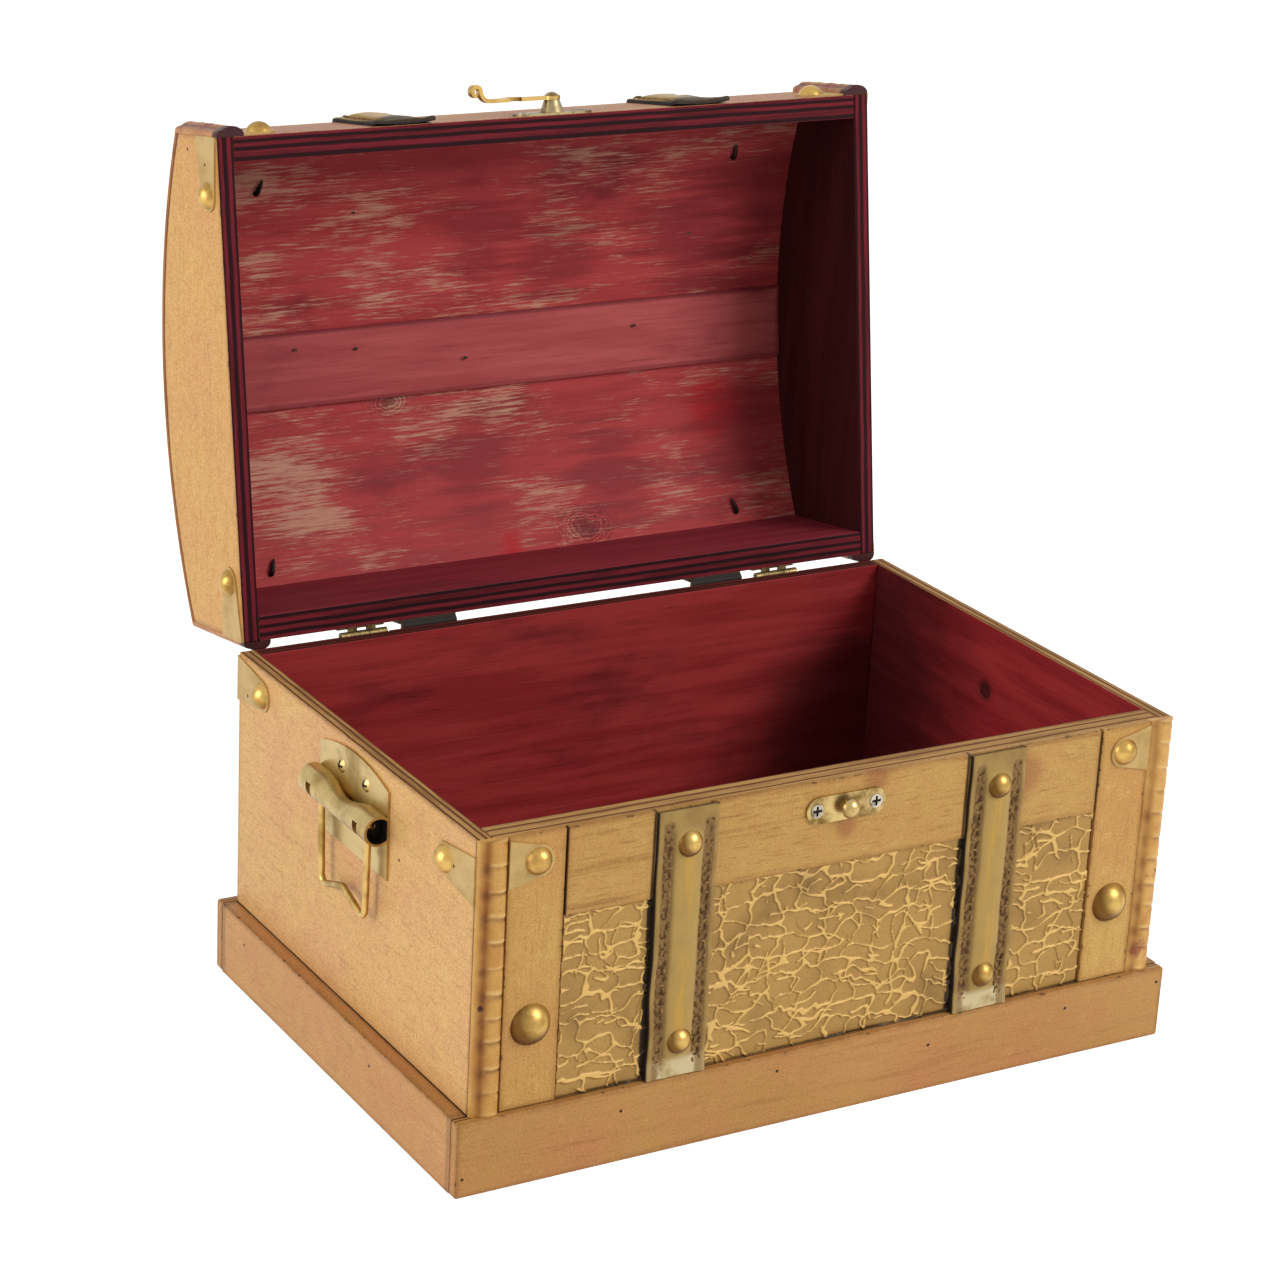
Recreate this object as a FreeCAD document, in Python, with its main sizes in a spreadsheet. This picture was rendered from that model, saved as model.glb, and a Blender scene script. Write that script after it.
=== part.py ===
import FreeCAD
import Part
import math
import os
import re

# Treasure chest box with a domed lid standing open, a clasp and two drop handles.
# Millimetres, +Z up, front towards -Y. The origin is the middle of the plinth's footprint.

# Driving sizes: name, value, what it measures
SIZES = [
    ("plinth_length", 300.0, "plinth outside, left to right"),
    ("plinth_depth", 200.0, "plinth outside, front to back"),
    ("plinth_height", 28.5, "height of the plinth boards"),
    ("plinth_side_board", 6.0, "thickness of the end boards of the plinth"),
    ("plinth_front_board", 4.5, "thickness of the front and back boards of the plinth"),
    ("body_height", 130.0, "floor to the top of the box walls"),
    ("side_wall", 6.0, "thickness of the end panels of the box"),
    ("front_wall", 9.5, "thickness of the front panel of the box"),
    ("back_wall", 6.0, "thickness of the back panel of the box"),
    ("bottom_thickness", 5.0, "thickness of the bottom panel"),
    ("stile_width", 21.5, "width of the upright boards on the front"),
    ("trim_thickness", 2.2, "thickness of the stiles and the rail"),
    ("rail_height", 32.5, "height of the rail along the top of the front"),
    ("embossed_thickness", 1.2, "thickness of the embossed sheet"),
    ("stile_gap", 0.8, "gap between a stile and the rail or the embossed sheet"),
    ("bead_width", 11.0, "width of the half round corner beads"),
    ("bead_rise", 4.0, "how far a bead stands out"),
    ("strap_width", 24.0, "width of the leather straps"),
    ("strap_inset", 79.5, "box end to the middle of a strap"),
    ("strap_thickness", 1.8, "thickness of the leather straps"),
    ("band_width", 11.0, "width of the raised band along a strap"),
    ("band_rise", 1.2, "how far the band stands above its strap"),
    ("bridge_reach", 2.0, "top of the box down to the end of a back strap"),
    ("stud_diameter", 9.5, "strap stud head"),
    ("stud_rise", 3.0, "height of a strap stud head"),
    ("stud_top_inset", 13.0, "top of the box to the upper studs"),
    ("stud_foot_inset", 14.0, "top of the plinth to the lower studs"),
    ("stile_nail_diameter", 15.5, "large nail head on a stile"),
    ("stile_nail_rise", 5.0, "height of a large nail head"),
    ("stile_nail_height", 31.0, "top of the plinth to the large nails"),
    ("corner_nail_diameter", 10.0, "nail head on a corner plate"),
    ("corner_nail_rise", 3.6, "height of a corner nail head"),
    ("corner_plate_thickness", 0.7, "thickness of the corner plates"),
    ("corner_plate_width", 17.5, "width of a corner plate at its corner"),
    ("corner_plate_end", 6.0, "radius of a corner plate round its nail"),
    ("corner_plate_drop", 10.0, "top of the box to the middle of its corner plates"),
    ("side_front_plate_drop", 15.0, "top of the box to the middle of the front plates on its ends"),
    ("side_nail_inset", 21.5, "box corner to the nails on the ends"),
    ("front_nail_inset", 22.0, "box end to the corner nails on the front"),
    ("clasp_plate_length", 33.0, "length of the keeper plate and of the hook plate"),
    ("clasp_plate_height", 10.0, "height of the keeper plate and of the hook plate"),
    ("clasp_plate_thickness", 0.9, "thickness of the keeper plate and of the hook plate"),
    ("clasp_screw_inset", 4.2, "end of a clasp plate to its screw"),
    ("clasp_screw_diameter", 5.2, "clasp screw head"),
    ("clasp_screw_rise", 0.2, "how far a clasp screw stands out of its plate"),
    ("screw_seat_gap", 0.1, "gap round a screw head sunk in a plate"),
    ("screw_cross_width", 0.9, "width of the cross recess in a screw head"),
    ("screw_cross_depth", 0.6, "depth of the cross recess in a screw head"),
    ("keeper_drop", 10.7, "top of the box to the keeper post"),
    ("post_neck_diameter", 3.6, "neck of the keeper post"),
    ("post_neck_length", 2.8, "length of the keeper post's neck"),
    ("post_head_diameter", 7.2, "head of the keeper post"),
    ("post_head_rise", 2.6, "height of the keeper post's head"),
    ("hook_rise", 5.5, "top of the box to the hook's rivet with the lid closed"),
    ("boss_base_diameter", 9.4, "foot of the boss on the hook plate"),
    ("boss_top_diameter", 6.0, "top of the boss on the hook plate"),
    ("boss_height", 4.6, "height of the boss above the hook plate"),
    ("hook_thickness", 1.5, "thickness of the hook's metal"),
    ("hook_width", 3.0, "width of the hook's arm"),
    ("hook_eye_diameter", 6.6, "eye of the hook round its rivet"),
    ("hook_arm_length", 27.0, "rivet to the start of the hook's curl"),
    ("hook_bend_radius", 3.2, "inside radius of the bend up to the hook's curl"),
    ("hook_curl_radius", 1.0, "inside radius of the hook's curled end"),
    ("hook_mouth_clearance", 0.7, "room between the hook's mouth and the post's neck"),
    ("hook_pivot_gap", 0.1, "running gap of the hook on its boss and rivet"),
    ("rivet_diameter", 2.8, "shank of the hook's rivet"),
    ("rivet_head_diameter", 5.4, "head of the hook's rivet"),
    ("rivet_head_rise", 1.3, "height of the rivet's head"),
    ("hinge_inset", 51.5, "box end to the middle of a hinge"),
    ("hinge_width", 19.5, "length of a hinge along its pin"),
    ("leaf_thickness", 0.8, "thickness of the hinge leaves"),
    ("leaf_height", 13.0, "height of a hinge leaf"),
    ("leaf_setback", 2.0, "pin to the near edge of a leaf"),
    ("web_clearance", 0.1, "lid rim to the underside of the webs on the lid's leaves"),
    ("knuckle_radius", 1.6, "outside radius of the hinge knuckles"),
    ("knuckle_clearance", 0.3, "gap between the knuckles and the notch cut for them"),
    ("knuckle_gap", 0.2, "gap between two knuckles"),
    ("pin_radius", 0.7, "hinge pin"),
    ("pin_drop", 0.5, "how far the hinge pin lies below the top of the box"),
    ("pin_back", 0.9, "how far the hinge pin lies behind the back of the box"),
    ("pin_clearance", 0.05, "running gap round the hinge pin"),
    ("pin_overhang", 0.3, "how far a pin stands out of its knuckles"),
    ("hinge_screw_diameter", 3.6, "hinge screw head"),
    ("hinge_screw_rise", 0.9, "height of a hinge screw head"),
    ("hinge_screw_spacing", 11.0, "spacing of the two screws in a leaf"),
    ("lid_end_inset", 2.7, "how far the lid's ends stand in from the box's ends"),
    ("lid_front_inset", 2.0, "how far the lid's front stands in from the box's front"),
    ("lid_back_inset", 2.0, "how far the lid's back stands in from the box's back"),
    ("lid_end_wall", 6.5, "thickness of the lid's end panels"),
    ("lid_wall", 9.2, "thickness of the lid's front and back boards"),
    ("lid_clearance", 0.3, "gap between the closed lid and the box"),
    ("crown_height", 64.0, "lid rim to the top of the dome"),
    ("crown_setback", 12.0, "how far behind the lid's middle the dome is highest"),
    ("dome_radius", 230.0, "outside radius of the dome"),
    ("sheet_thickness", 2.0, "thickness of the bent sheet on the dome"),
    ("batten_width", 29.5, "width of the batten inside the dome"),
    ("batten_thickness", 2.0, "thickness of the batten inside the dome"),
    ("batten_offset", 2.5, "how far behind the lid's middle the batten lies"),
    ("open_angle", 99.0, "degrees from the closed lid to the lid as it stands"),
    ("lid_plate_rise", 9.5, "lid rim to the middle of its corner plates"),
    ("lid_end_nail_inset", 21.5, "lid corner to the nails on the lid's ends"),
    ("lid_front_nail_inset", 21.0, "lid end to the corner nails on the lid's front"),
    ("dome_nail_inset", 35.0, "lid end to the large nails on the dome"),
    ("dome_nail_front", 80.0, "crown line to the front nails on the dome"),
    ("dome_nail_back", 68.0, "crown line to the back nails on the dome"),
    ("dome_nail_sink", 0.4, "how far the rim of a dome nail is hollowed to the round"),
    ("handle_offset", -5.0, "middle of the box end to the middle of a handle"),
    ("handle_drop", 40.5, "top of the box to the foot of a handle plate"),
    ("handle_plate_width", 54.0, "width of a handle plate"),
    ("handle_plate_height", 37.7, "height of a handle plate at its middle"),
    ("handle_plate_arch", 4.7, "rise of the arched top of a handle plate"),
    ("handle_plate_thickness", 1.0, "thickness of a handle plate"),
    ("handle_screw_diameter", 5.6, "handle screw head"),
    ("handle_screw_rise", 1.2, "height of a handle screw head"),
    ("handle_screw_spacing", 19.4, "spacing of the two screws in a handle plate"),
    ("handle_screw_height", 29.5, "foot of a handle plate to its screws"),
    ("barrel_height", 19.0, "foot of a handle plate to the bail's pivot"),
    ("barrel_out", 4.2, "box end to the bail's pivot"),
    ("barrel_end_radius", 5.6, "radius of the barrel at its ends"),
    ("barrel_waist_radius", 3.9, "radius of the barrel at its middle"),
    ("barrel_shoulder", 9.0, "length of a barrel end before it narrows"),
    ("barrel_mouth_radius", 4.7, "radius of the recess in a barrel end"),
    ("barrel_mouth_depth", 5.5, "depth of the recess in a barrel end"),
    ("bail_wire_radius", 1.25, "half the thickness of the bail wire"),
    ("bail_pivot_gap", 0.1, "running gap of the bail in its barrel"),
    ("bail_slot_gap", 0.4, "room beside a bail leg in its slot"),
    ("bail_top_width", 38.0, "bail leg to bail leg at the pivot"),
    ("bail_foot_width", 35.0, "bail leg to bail leg at the foot"),
    ("bail_drop", 37.5, "pivot to the foot of the bail"),
    ("bail_peak", 6.0, "rise of the middle of the bail's foot"),
    ("bail_pivot_length", 11.0, "length of a bail end inside the barrel"),
    ("bail_bend", 3.0, "radius of the bends at the foot of the bail"),
    ("bail_pivot_bend", 1.5, "radius of the bends at the pivots of the bail"),
]

# Sizes that follow from the driving ones: name, formula
DERIVED = [
    ("body_length", "plinth_length - 2 * plinth_side_board"),
    ("body_depth", "plinth_depth - 2 * plinth_front_board"),
    ("half_length", "body_length / 2"),
    ("half_depth", "body_depth / 2"),
    ("strap_spread", "half_length - strap_inset"),
    ("hinge_spread", "half_length - hinge_inset"),
    ("front_height", "body_height - plinth_height"),
    ("frame_width", "body_length - 2 * bead_width"),
    ("panel_width", "frame_width - 2 * (stile_width + stile_gap)"),
    ("rail_foot", "body_height - rail_height"),
    ("bead_radius", "(bead_width ^ 2 / 4 + bead_rise ^ 2) / (2 * bead_rise)"),
    ("strap_face", "trim_thickness + strap_thickness"),
    ("band_face", "strap_face + band_rise"),
    ("keeper_height", "body_height - keeper_drop"),
    ("hook_reach", "hook_rise + keeper_drop"),
    ("mouth_radius", "post_neck_diameter / 2 + hook_mouth_clearance"),
    ("boss_top", "clasp_plate_thickness + boss_height"),
    ("hook_foot", "boss_top + hook_pivot_gap"),
    ("hook_face", "hook_foot + hook_thickness"),
    ("pin_y", "half_depth + pin_back"),
    ("pin_z", "body_height - pin_drop"),
    ("lid_rim", "lid_clearance + pin_drop"),
    ("lid_back", "-pin_back - lid_back_inset"),
    ("knuckle_room", "knuckle_radius + knuckle_clearance"),
    ("knuckle_pitch", "hinge_width / 5"),
    ("lid_length", "body_length - 2 * lid_end_inset"),
    ("lid_depth", "body_depth - lid_front_inset - lid_back_inset"),
    ("lid_front", "lid_back - lid_depth"),
    ("lid_middle", "lid_back - lid_depth / 2"),
    ("half_lid", "lid_length / 2"),
    ("dome_nail_spread", "half_lid - dome_nail_inset"),
    ("dome_y", "lid_middle + crown_setback"),
    ("dome_z", "lid_rim + crown_height - dome_radius"),
    ("front_edge", "dome_z + sqrt(dome_radius ^ 2 - (lid_front - dome_y) ^ 2)"),
    ("back_edge", "dome_z + sqrt(dome_radius ^ 2 - (lid_back - dome_y) ^ 2)"),
    ("arch_radius", "(handle_plate_width ^ 2 / 4 + handle_plate_arch ^ 2) / (2 * handle_plate_arch)"),
    ("handle_foot", "body_height - handle_drop"),
    ("barrel_z", "handle_foot + barrel_height"),
    ("bail_bore", "bail_wire_radius + bail_pivot_gap"),
    ("slot_half", "bail_wire_radius + bail_slot_gap"),
    ("slot_width", "bail_pivot_bend + bail_slot_gap + slot_half"),
]

doc = FreeCAD.newDocument("treasure_chest")
sheet = doc.addObject("Spreadsheet::Sheet", "Sizes")
row = 0
for alias, value, note in SIZES:
    row += 1
    sheet.set("A%d" % row, alias)
    sheet.set("B%d" % row, str(value))
    sheet.setAlias("B%d" % row, alias)
    sheet.set("C%d" % row, note)
for alias, formula in DERIVED:
    row += 1
    sheet.set("A%d" % row, alias)
    sheet.set("B%d" % row, "=" + formula)
    sheet.setAlias("B%d" % row, alias)
doc.recompute()

ALIASES = {entry[0] for entry in SIZES} | {entry[0] for entry in DERIVED}
pieces = []


# Expressions and frames

def ref(formula):
    """A formula in the sheet's names, written as an expression of the document."""
    def named(word):
        return "Sizes." + word[0] if word[0] in ALIASES else word[0]

    return re.sub(r"[a-z_]+", named, str(formula))


def size(alias):
    """The number that the sheet holds for one size."""
    return float(sheet.get(alias))


def frame(base, axis=(0, 0, 1), angle=0):
    """Expression of a placement from a base point, a turning axis and an angle."""
    point = "; ".join(ref(value) for value in base)
    turn = "; ".join(str(value) for value in axis)
    return "placement(vector(%s); rotation(vector(%s); %s))" % (point, turn, ref(angle))


WORLD = frame((0, 0, 0))
# The pin's frame lies on the hinge line
PIN = frame((0, "pin_y", "pin_z"))
# The lid's own frame has the hinge pin for its X axis, and +Z up when the lid is closed
LID = frame((0, "pin_y", "pin_z"), (1, 0, 0), "-open_angle")
# Clasp frames have +X to the left of the chest, +Y out of the front and +Z up
KEEPER = frame((0, "-half_depth - trim_thickness", "keeper_height"), (0, 0, 1), 180)
HOOK = LID + " * " + frame((0, "lid_front", "hook_rise + pin_drop"), (0, 0, 1), 180)
# Handle frames have +X out of the end of the box and +Z up from the floor
HANDLES = {
    "left": frame(("-half_length", "handle_offset", 0), (0, 0, 1), 180),
    "right": frame(("half_length", "handle_offset", 0), (0, 0, 1), 0),
}
# Turns that bring a plate's +X to the face it lies on and its +Y away from its corner
TURNS = {
    "left_front": ((0, 1, 0), 180),
    "left_back": ((0, 0, 1), 180),
    "right_front": ((0, 0, 1), 0),
    "right_back": ((1, 0, 0), 180),
    "front_left": ((0, 0, 1), -90),
    "front_right": ((1, -1, 0), 180),
}
# Turns that bring a primitive's own +Z to a direction
FACING = {
    "x": ((0, 1, 0), 90),
    "y": ((1, 0, 0), -90),
    "-y": ((1, 0, 0), 90),
    "z": ((0, 0, 1), 0),
}


# Primitives and booleans bound to the sheet

def bind(thing, **formulas):
    """Tie properties of an object to formulas of the sheet."""
    for name, formula in formulas.items():
        thing.setExpression(name, ref(formula))
    return thing


def box(lengths, corner, within=WORLD):
    """A block from its three lengths and its lowest corner."""
    block = bind(doc.addObject("Part::Box", "block"), Length=lengths[0], Width=lengths[1], Height=lengths[2])
    block.setExpression("Placement", within + " * " + frame(corner))
    return block


def rod(radius, length, foot, along, within=WORLD, sector=360):
    """A round bar from the middle of its foot, along one direction."""
    bar = bind(doc.addObject("Part::Cylinder", "bar"), Radius=radius, Height=length)
    bar.Angle = sector
    bar.setExpression("Placement", within + " * " + frame(foot, *FACING[along]))
    return bar


def cone(foot_radius, top_radius, length, foot, along, within=WORLD):
    """A tapered round bar from the middle of its foot, along one direction."""
    taper = bind(doc.addObject("Part::Cone", "taper"), Radius1=foot_radius, Radius2=top_radius, Height=length)
    taper.setExpression("Placement", within + " * " + frame(foot, *FACING[along]))
    return taper


def dome(diameter, rise, foot, facing, within=WORLD):
    """A domed head: the cap of a ball, standing with its flat side at the foot point."""
    ball = "(((%s) ^ 2 / 4 + (%s) ^ 2) / (2 * (%s)))" % (diameter, rise, rise)
    below = "(%s - (%s))" % (ball, rise)
    cap = bind(doc.addObject("Part::Sphere", "cap"), Radius=ball, Angle1="asin(%s / %s)" % (below, ball))
    cap.Angle2 = 90
    seat = frame(foot, *FACING[facing]) + " * " + frame((0, 0, "-" + below))
    cap.setExpression("Placement", within + " * " + seat)
    return cap


def join(*parts):
    """Several bodies made one."""
    whole = doc.addObject("Part::MultiFuse", "whole")
    whole.Shapes = list(parts)
    whole.Refine = True
    return whole


def cut(base, tool):
    """One body with another taken away."""
    rest = doc.addObject("Part::Cut", "rest")
    rest.Base = base
    rest.Tool = tool
    return rest


def meet(first, second):
    """What two bodies have in common."""
    shared = doc.addObject("Part::Common", "shared")
    shared.Base = first
    shared.Tool = second
    return shared


def group(parts):
    """Separate solids kept together as one sub-part."""
    bundle = doc.addObject("Part::Compound", "bundle")
    bundle.Links = list(parts)
    return bundle


def piece(label, thing, solids=1, within=None):
    """Name a finished sub-part and say how many solids it has."""
    if within:
        thing.setExpression("Placement", within)
    thing.Label = label
    pieces.append((thing, solids))
    return thing


# Parts that occur more than once

def cross_cut(head, diameter, rise, foot, facing, within):
    """A screw head with a cross recess cut into its top."""
    seat = within + " * " + frame(foot, *FACING[facing])
    arm = "0.7 * (%s)" % diameter
    depth = ("-screw_cross_width / 2", "-(%s) / 2" % arm, "(%s) - screw_cross_depth" % rise)
    turned = (depth[1], depth[0], depth[2])
    one = box(("screw_cross_width", arm, "screw_cross_depth"), depth, seat)
    other = box((arm, "screw_cross_width", "screw_cross_depth"), turned, seat)
    return cut(head, join(one, other))


def screw(diameter, rise, foot, facing, within=WORLD):
    """A domed screw head with a cross recess."""
    return cross_cut(dome(diameter, rise, foot, facing, within), diameter, rise, foot, facing, within)


SCREW_REACH = "(clasp_plate_length / 2 - clasp_screw_inset)"
SEAT_RADIUS = "clasp_screw_diameter / 2 + screw_seat_gap"


def clasp_plate(within):
    """A flat plate with rounded ends, standing on its frame's XZ plane."""
    half = "clasp_plate_height / 2"
    straight = "clasp_plate_length - clasp_plate_height"
    thick = "clasp_plate_thickness"
    block = box((straight, thick, "clasp_plate_height"), ("-(%s) / 2" % straight, 0, "-" + half), within)
    ends = [rod(half, thick, ("%s * (%s) / 2" % (sign, straight), 0, 0), "y", within) for sign in (-1, 1)]
    seats = []
    for sign in (-1, 1):
        seats.append(rod(SEAT_RADIUS, thick, ("%d * %s" % (sign, SCREW_REACH), 0, 0), "y", within))
    return cut(join(block, *ends), join(*seats))


def clasp_screws(within):
    """The two screws of a clasp plate."""
    height = "clasp_plate_thickness + clasp_screw_rise"
    heads = []
    for sign in (-1, 1):
        foot = ("%d * %s" % (sign, SCREW_REACH), 0, 0)
        blank = rod("clasp_screw_diameter / 2", height, foot, "y", within)
        heads.append(cross_cut(blank, "clasp_screw_diameter", height, foot, "y", within))
    return group(heads)


def corner_plate(corner, turn, start, inset, within):
    """A plate that tapers from its corner to a round end, and the place of its nail.

    The plate's own frame has +X out of the face, +Y away from the corner and +Z across.
    """
    seat = within + " * " + frame(corner, *TURNS[turn])
    wedge = doc.addObject("Part::Wedge", "wedge")
    bind(wedge, Xmin=0, X2min=0, Xmax="corner_plate_thickness", X2max="corner_plate_thickness")
    bind(wedge, Ymin=start, Ymax=inset)
    bind(wedge, Zmin="-corner_plate_width / 2", Zmax="corner_plate_width / 2")
    bind(wedge, Z2min="-corner_plate_end", Z2max="corner_plate_end")
    wedge.setExpression("Placement", seat)
    end = rod("corner_plate_end", "corner_plate_thickness", (0, inset, 0), "x", seat)
    nail = dome("corner_nail_diameter", "corner_nail_rise", ("corner_plate_thickness", inset, 0), "x", seat)
    return join(wedge, end), nail


def bead(left, face, foot, height, outward):
    """A half round bead standing on a face, with its left edge and its foot given."""
    corner = (left, face if outward == "y" else "%s - bead_rise" % face, foot)
    block = box(("bead_width", "bead_rise", height), corner)
    inward = "- bead_rise + bead_radius" if outward == "-y" else "+ bead_rise - bead_radius"
    middle = ("%s + bead_width / 2" % left, "%s %s" % (face, inward), foot)
    return meet(block, rod("bead_radius", height, middle, "z"))


# The plinth: front and back boards run full length, with the end boards between them
inner_plinth = "plinth_depth - 2 * plinth_front_board"
for side, y in (("front", "-plinth_depth / 2"), ("back", "plinth_depth / 2 - plinth_front_board")):
    board = box(("plinth_length", "plinth_front_board", "plinth_height"), ("-plinth_length / 2", y, 0))
    piece("plinth_%s_board" % side, board)
for side, x in (("left", "-plinth_length / 2"), ("right", "plinth_length / 2 - plinth_side_board")):
    board = box(("plinth_side_board", inner_plinth, "plinth_height"), (x, "-(%s) / 2" % inner_plinth, 0))
    piece("plinth_%s_board" % side, board)

# The box: end panels run full depth, with the front, back and bottom between them
between = "body_length - 2 * side_wall"
for side, x in (("left", "-half_length"), ("right", "half_length - side_wall")):
    piece("%s_panel" % side, box(("side_wall", "body_depth", "body_height"), (x, "-half_depth", 0)))
inner_left = "side_wall - half_length"
piece("front_panel", box((between, "front_wall", "body_height"), (inner_left, "-half_depth", 0)))
back_board = box((between, "back_wall", "body_height"), (inner_left, "half_depth - back_wall", 0))
notch_size = ("hinge_width + 2 * knuckle_clearance", "knuckle_room - pin_back", "knuckle_room + pin_drop")
notches = []
for sign in (-1, 1):
    notch_x = "%d * hinge_spread - hinge_width / 2 - knuckle_clearance" % sign
    notches.append(box(notch_size, (notch_x, "pin_y - knuckle_room", "pin_z - knuckle_room")))
piece("back_panel", cut(back_board, join(*notches)))
bottom_size = (between, "body_depth - front_wall - back_wall", "bottom_thickness")
piece("bottom_panel", box(bottom_size, (inner_left, "front_wall - half_depth", 0)))

# Trim on the front: stiles, rail, embossed sheet and corner beads
for side, x in (("left", "-frame_width / 2"), ("right", "frame_width / 2 - stile_width")):
    corner = (x, "-half_depth - trim_thickness", "plinth_height")
    piece("%s_stile" % side, box(("stile_width", "trim_thickness", "front_height"), corner))
rail_corner = ("-panel_width / 2", "-half_depth - trim_thickness", "rail_foot")
piece("top_rail", box(("panel_width", "trim_thickness", "rail_height"), rail_corner))
sheet_corner = ("-panel_width / 2", "-half_depth - embossed_thickness", "plinth_height")
piece("embossed_panel", box(("panel_width", "embossed_thickness", "rail_foot - plinth_height"), sheet_corner))
for side, x in (("left", "-half_length"), ("right", "half_length - bead_width")):
    piece("%s_corner_bead" % side, bead(x, "-half_depth", "plinth_height", "front_height", "-y"))

# Leather straps on the front, each with a raised band and two studs
studs = []
for side, sign in (("left", -1), ("right", 1)):
    middle = "%d * strap_spread" % sign
    left = "%s - strap_width / 2" % middle
    face = "-half_depth - strap_face"
    upper = box(("strap_width", "strap_thickness", "rail_height"), (left, face, "rail_foot"))
    lower_size = ("strap_width", "strap_face - embossed_thickness", "rail_foot - plinth_height")
    lower = box(lower_size, (left, face, "plinth_height"))
    band_corner = ("%s - band_width / 2" % middle, "-half_depth - band_face", "plinth_height")
    band = box(("band_width", "band_rise", "front_height"), band_corner)
    piece("%s_strap" % side, join(upper, lower, band))
    for height in ("body_height - stud_top_inset", "plinth_height + stud_foot_inset"):
        foot = (middle, "-half_depth - band_face", height)
        studs.append(dome("stud_diameter", "stud_rise", foot, "-y"))
piece("strap_studs", group(studs), len(studs))

# Large nails on the stiles
nails = []
for sign in (-1, 1):
    x = "%d * (frame_width - stile_width) / 2" % sign
    foot = (x, "-half_depth - trim_thickness", "plinth_height + stile_nail_height")
    nails.append(dome("stile_nail_diameter", "stile_nail_rise", foot, "-y"))
piece("stile_nails", group(nails), len(nails))

# Corner plates of the box, with their nails
plate_z = "body_height - corner_plate_drop"
side_plates = []
front_plates = []
nails = []
for turn in ("left_front", "left_back", "right_front", "right_back"):
    x = "-half_length" if turn.startswith("left") else "half_length"
    y = "-half_depth" if turn.endswith("front") else "half_depth"
    z = "body_height - side_front_plate_drop" if turn.endswith("front") else plate_z
    plate, nail = corner_plate((x, y, z), turn, 0, "side_nail_inset", WORLD)
    side_plates.append(plate)
    nails.append(nail)
for turn, x in (("front_left", "-half_length"), ("front_right", "half_length")):
    corner = (x, "-half_depth - trim_thickness", plate_z)
    plate, nail = corner_plate(corner, turn, "bead_width", "front_nail_inset", WORLD)
    front_plates.append(plate)
    nails.append(nail)
piece("side_corner_plates", group(side_plates), len(side_plates))
piece("front_corner_plates", group(front_plates), len(front_plates))
piece("corner_nails", group(nails), len(nails))

# The keeper on the rail: plate, post and screws
piece("keeper_plate", clasp_plate(WORLD), within=KEEPER)
neck_radius = "post_neck_diameter / 2"
neck = rod(neck_radius, "post_neck_length", (0, "clasp_plate_thickness", 0), "y")
head = dome("post_head_diameter", "post_head_rise", (0, "clasp_plate_thickness + post_neck_length", 0), "y")
piece("keeper_post", join(neck, head), within=KEEPER)
piece("keeper_screws", clasp_screws(WORLD), 2, within=KEEPER)

# Straps on the back of the box
for side, sign in (("left", -1), ("right", 1)):
    corner = ("%d * strap_spread - strap_width / 2" % sign, "half_depth", "plinth_height")
    lengths = ("strap_width", "strap_thickness", "front_height - bridge_reach")
    piece("%s_back_strap" % side, box(lengths, corner))

# Hinges: three knuckles on the box, two on the lid, one pin
pins = []
lower_screws = []
upper_screws = []
knuckle_length = "knuckle_pitch - knuckle_gap"
bore_radius = "pin_radius + pin_clearance"
for side, sign in (("left", -1), ("right", 1)):
    start = "%d * hinge_spread - hinge_width / 2" % sign
    middle = "%d * hinge_spread" % sign
    for leaf, slots in (("lower", (0, 2, 4)), ("upper", (1, 3))):
        face = "-pin_back" if leaf == "lower" else "lid_back"
        plate_foot = "-leaf_setback - leaf_height" if leaf == "lower" else "leaf_setback"
        web_foot = "-leaf_setback" if leaf == "lower" else "lid_rim + web_clearance"
        web_depth = "leaf_thickness" if leaf == "lower" else "-lid_back - pin_radius - pin_clearance"
        solids = [box(("hinge_width", "leaf_thickness", "leaf_height"), (start, face, plate_foot))]
        for slot in slots:
            x = "%s + %d * knuckle_pitch + knuckle_gap / 2" % (start, slot)
            solids.append(rod("knuckle_radius", knuckle_length, (x, 0, 0), "x"))
            web_height = "leaf_setback - pin_radius" if leaf == "lower" else "leaf_setback - (%s)" % web_foot
            solids.append(box((knuckle_length, web_depth, web_height), (x, face, web_foot)))
        bore = rod(bore_radius, "hinge_width", (start, 0, 0), "x")
        leaf_z = "-leaf_setback - leaf_height / 2" if leaf == "lower" else "leaf_setback + leaf_height / 2"
        spots = []
        for step in (-1, 1):
            x = "%s + %d * hinge_screw_spacing / 2" % (middle, step)
            spots.append((x, "leaf_thickness + " + face, leaf_z))
        heads = [screw("hinge_screw_diameter", "hinge_screw_rise", spot, "y") for spot in spots]
        (lower_screws if leaf == "lower" else upper_screws).extend(heads)
        seat = PIN if leaf == "lower" else LID
        piece("%s_hinge_%s_leaf" % (side, leaf), cut(join(*solids), bore), within=seat)
    pin_foot = ("%s - pin_overhang" % start, "pin_y", "pin_z")
    pins.append(rod("pin_radius", "hinge_width + 2 * pin_overhang", pin_foot, "x"))
piece("hinge_pins", group(pins), len(pins))
piece("lower_hinge_screws", group(lower_screws), len(lower_screws), PIN)
piece("upper_hinge_screws", group(upper_screws), len(upper_screws), LID)

# The lid: end panels, front and back boards and a bent sheet, shaped by round bars along X
def dome_bar(radius):
    """A bar of the dome's axis that reaches past both ends of the lid."""
    return rod(radius, "lid_length", ("-half_lid", "dome_y", "dome_z"), "x")


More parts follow.
